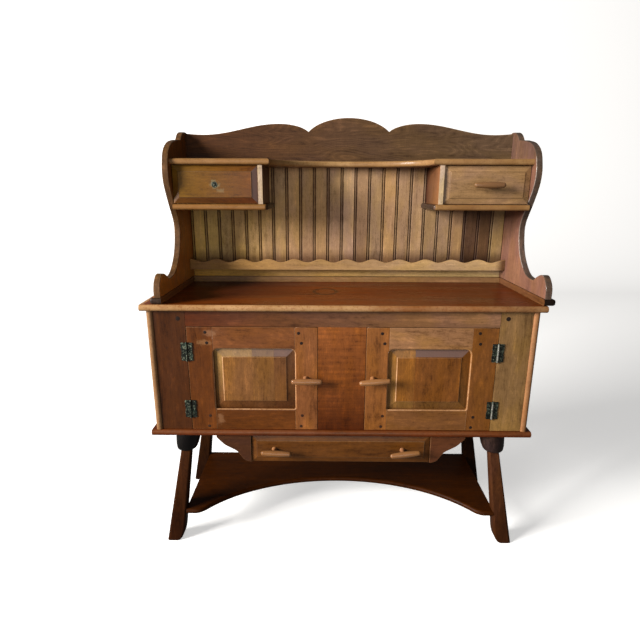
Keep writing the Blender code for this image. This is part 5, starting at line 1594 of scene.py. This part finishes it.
class CABINET_OT_upper_drawers(StepOperator, bpy.types.Operator):
    """Make the two small drawers' fronts, and the bare screw of the left one"""
    bl_idname = "cabinet.upper_drawers"
    bl_label = "Upper drawers"

    def make(self):
        for side, hand in SIDES:
            drawer = "upper_{}_drawer".format(hand)
            low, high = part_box(drawer + "_front")
            part = panel_field(low, high, UPPER_BORDER, DRAWER_RISE, DRAWER_SHOULDER)
            look(part, 185.0 + side * 3, ACROSS, TINTS[drawer])
            if side < 0:
                # Painted light and shade on the left drawer: lighter at its shaded left end, darker on its
                # lower slope, and grey-purple on the right slope, which faces away from the light.
                fade(part, X, low.x, high.x - 0.02, (1.35, 1.62, 1.10), (1.14, 0.92, 0.86))
                fade(part, Z, low.z + 0.0191, low.z + 0.0197, (0.62, 0.46, 0.46), UNTINTED)
                mark_faces(
                    part, "grey_sheen_and_shade", 0.85, lambda face: face.normal.x > 0.08 and middle(face).x < high.x - 0.002,
                )
            finish_piece(drawer + "_face", [part], ["hutch_maple"], drawer, "hutch", drawer + "_front")
        at = Vector((SCREW_X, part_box("upper_left_drawer_front")[0].y, SCREW_Z))
        washer = look(turned(WASHER_PROFILE, Y, at, 28), 190.0, ACROSS)
        screw = look(turned(SCREW_PROFILE, Y, at, 20), 191.0, ACROSS)
        finish_piece("bare_screw", [washer, screw], ["bronzed_iron"], "upper_left_drawer", "bronze")


class CABINET_OT_inner_parts(StepOperator, bpy.types.Operator):
    """Finish the drawer boxes, the runners, the case's back and the latches' tongues"""
    bl_idname = "cabinet.inner_parts"
    bl_label = "Inner parts"

    def make(self):
        for node in (
            "case_back", "runner_left", "runner_right", "left_latch_tongue", "right_latch_tongue",
            "lower_drawer_box", "upper_left_drawer_box", "upper_right_drawer_box",
        ):
            frame["nodes"][node].material_slots[0].material = bpy.data.materials["raw_maple"]


# ---- stage

# Each lamp: name, place, aim, size, power and colour.
LAMPS = (
    ("window", (-7.0, -3.5, 3.2), (0.0, 0.0, 0.75), 3.0, 1720.0, (1.0, 0.98, 0.95)),
    ("room", (-0.2, -4.4, 1.5), (0.0, 0.0, 0.7), 2.4, 44.0, (0.98, 0.98, 1.0)),
)
CAMERA_PLACE = (
    (0.99995, -0.00481, 0.00864, -0.0659),
    (0.00959, 0.26069, -0.96537, -1.5910),
    (0.00239, 0.96541, 0.26072, 1.1666),
    (0.0, 0.0, 0.0, 1.0),
)


class CABINET_OT_stage(StepOperator, bpy.types.Operator):
    """Lay the pale floor, and set the lights and the camera"""
    bl_idname = "cabinet.stage"
    bl_label = "Stage"

    def make(self):
        scene = bpy.context.scene
        self.floor()
        for name, place, aim, size, power, tone in LAMPS:
            lamp = bpy.data.lights.new(name, "AREA")
            lamp.energy = power
            lamp.size = size
            lamp.color = tone
            held = bpy.data.objects.new(name, lamp)
            held.location = place
            held.rotation_euler = (Vector(aim) - Vector(place)).to_track_quat("-Z", "Y").to_euler()
            scene.collection.objects.link(held)
        world = bpy.data.worlds.new("studio_air")
        world.use_nodes = True
        feed(world.node_tree, world.node_tree.nodes["Background"], {"Color": UNTINTED, "Strength": 0.075})
        scene.world = world
        scene.view_settings.view_transform = "Standard"
        lens = bpy.data.cameras.new("photograph_view")
        lens.lens = 27.0
        lens.sensor_width = 36.0
        camera = bpy.data.objects.new("photograph_view", lens)
        camera.matrix_world = Matrix(CAMERA_PLACE)
        scene.collection.objects.link(camera)
        scene.camera = camera

    def floor(self):
        """A wide floor that bends up to a wall far behind the cabinet."""
        part = bmesh.new()
        bmesh.ops.create_grid(part, x_segments=1, y_segments=1, size=6.0)
        grown = bmesh.ops.extrude_edge_only(part, edges=pick(part, lambda at: at.y > 5.0))
        moved = [item for item in grown["geom"] if isinstance(item, bmesh.types.BMVert)]
        bmesh.ops.translate(part, vec=(0, 0.5, 6.0), verts=moved)
        bend = pick(part, lambda at: abs(at.y - 6.0) < 0.01 and abs(at.z) < 0.01)
        bmesh.ops.bevel(
            part, geom=bend, offset=2.0, offset_type="OFFSET", segments=16, profile=0.5, affect="EDGES",
            material=-1,
        )
        floor = to_object(part, "studio_floor")
        floor.data.shade_smooth()
        floor.location.z = -0.0005
        tree, shader = new_material("pale_paper")
        seen = Value(tree, add(tree, "ShaderNodeLightPath").outputs["Is Camera Ray"])
        feed(tree, shader, {
            "Base Color": mix(tree, seen, (0.16, 0.155, 0.15), (0.86, 0.855, 0.845)),
            "Emission Color": (1.0, 0.99, 0.975), "Emission Strength": seen * 0.50, "Roughness": 0.9,
            "Specular IOR Level": 0.0,
        })
        floor.data.materials.append(bpy.data.materials["pale_paper"])


STEPS = (
    CABINET_OT_stage, CABINET_OT_finishes, CABINET_OT_counter, CABINET_OT_case, CABINET_OT_face_frame,
    CABINET_OT_doors, CABINET_OT_hinges, CABINET_OT_pulls, CABINET_OT_legs, CABINET_OT_lower_shelf,
    CABINET_OT_lower_drawer, CABINET_OT_hutch_sides, CABINET_OT_hutch_base, CABINET_OT_back_boards,
    CABINET_OT_crest, CABINET_OT_top_shelf, CABINET_OT_upper_drawers, CABINET_OT_inner_parts,
)


class CABINET_PT_sidebar(bpy.types.Panel):
    """Sizes, colours and steps of the cabinet"""
    bl_idname = "CABINET_PT_sidebar"
    bl_label = "Bakers Cabinet"
    bl_space_type = "VIEW_3D"
    bl_region_type = "UI"
    bl_category = "Cabinet"

    def draw(self, context):
        """List the sizes, the colours and the steps."""
        for group in (context.scene.cabinet_sizes, context.scene.cabinet_colours):
            box = self.layout.box()
            for name in group.bl_rna.properties.keys():
                if name not in ("rna_type", "name"):
                    box.prop(group, name)
        for step in STEPS:
            self.layout.operator(step.bl_idname)


CLASSES = (CabinetSizes, CabinetColours, *STEPS, CABINET_PT_sidebar)


def register():
    """Register the classes and the scene's properties."""
    for item in CLASSES:
        bpy.utils.register_class(item)
    bpy.types.Scene.cabinet_sizes = bpy.props.PointerProperty(type=CabinetSizes)
    bpy.types.Scene.cabinet_colours = bpy.props.PointerProperty(type=CabinetColours)


def unregister():
    """Take the properties and the classes away again."""
    del bpy.types.Scene.cabinet_colours
    del bpy.types.Scene.cabinet_sizes
    for item in reversed(CLASSES):
        bpy.utils.unregister_class(item)


def main():
    """Dress the cabinet step by step."""
    register()
    for step in STEPS:
        family, name = step.bl_idname.split(".")
        getattr(getattr(bpy.ops, family), name)()


if __name__ == "__main__":
    main()
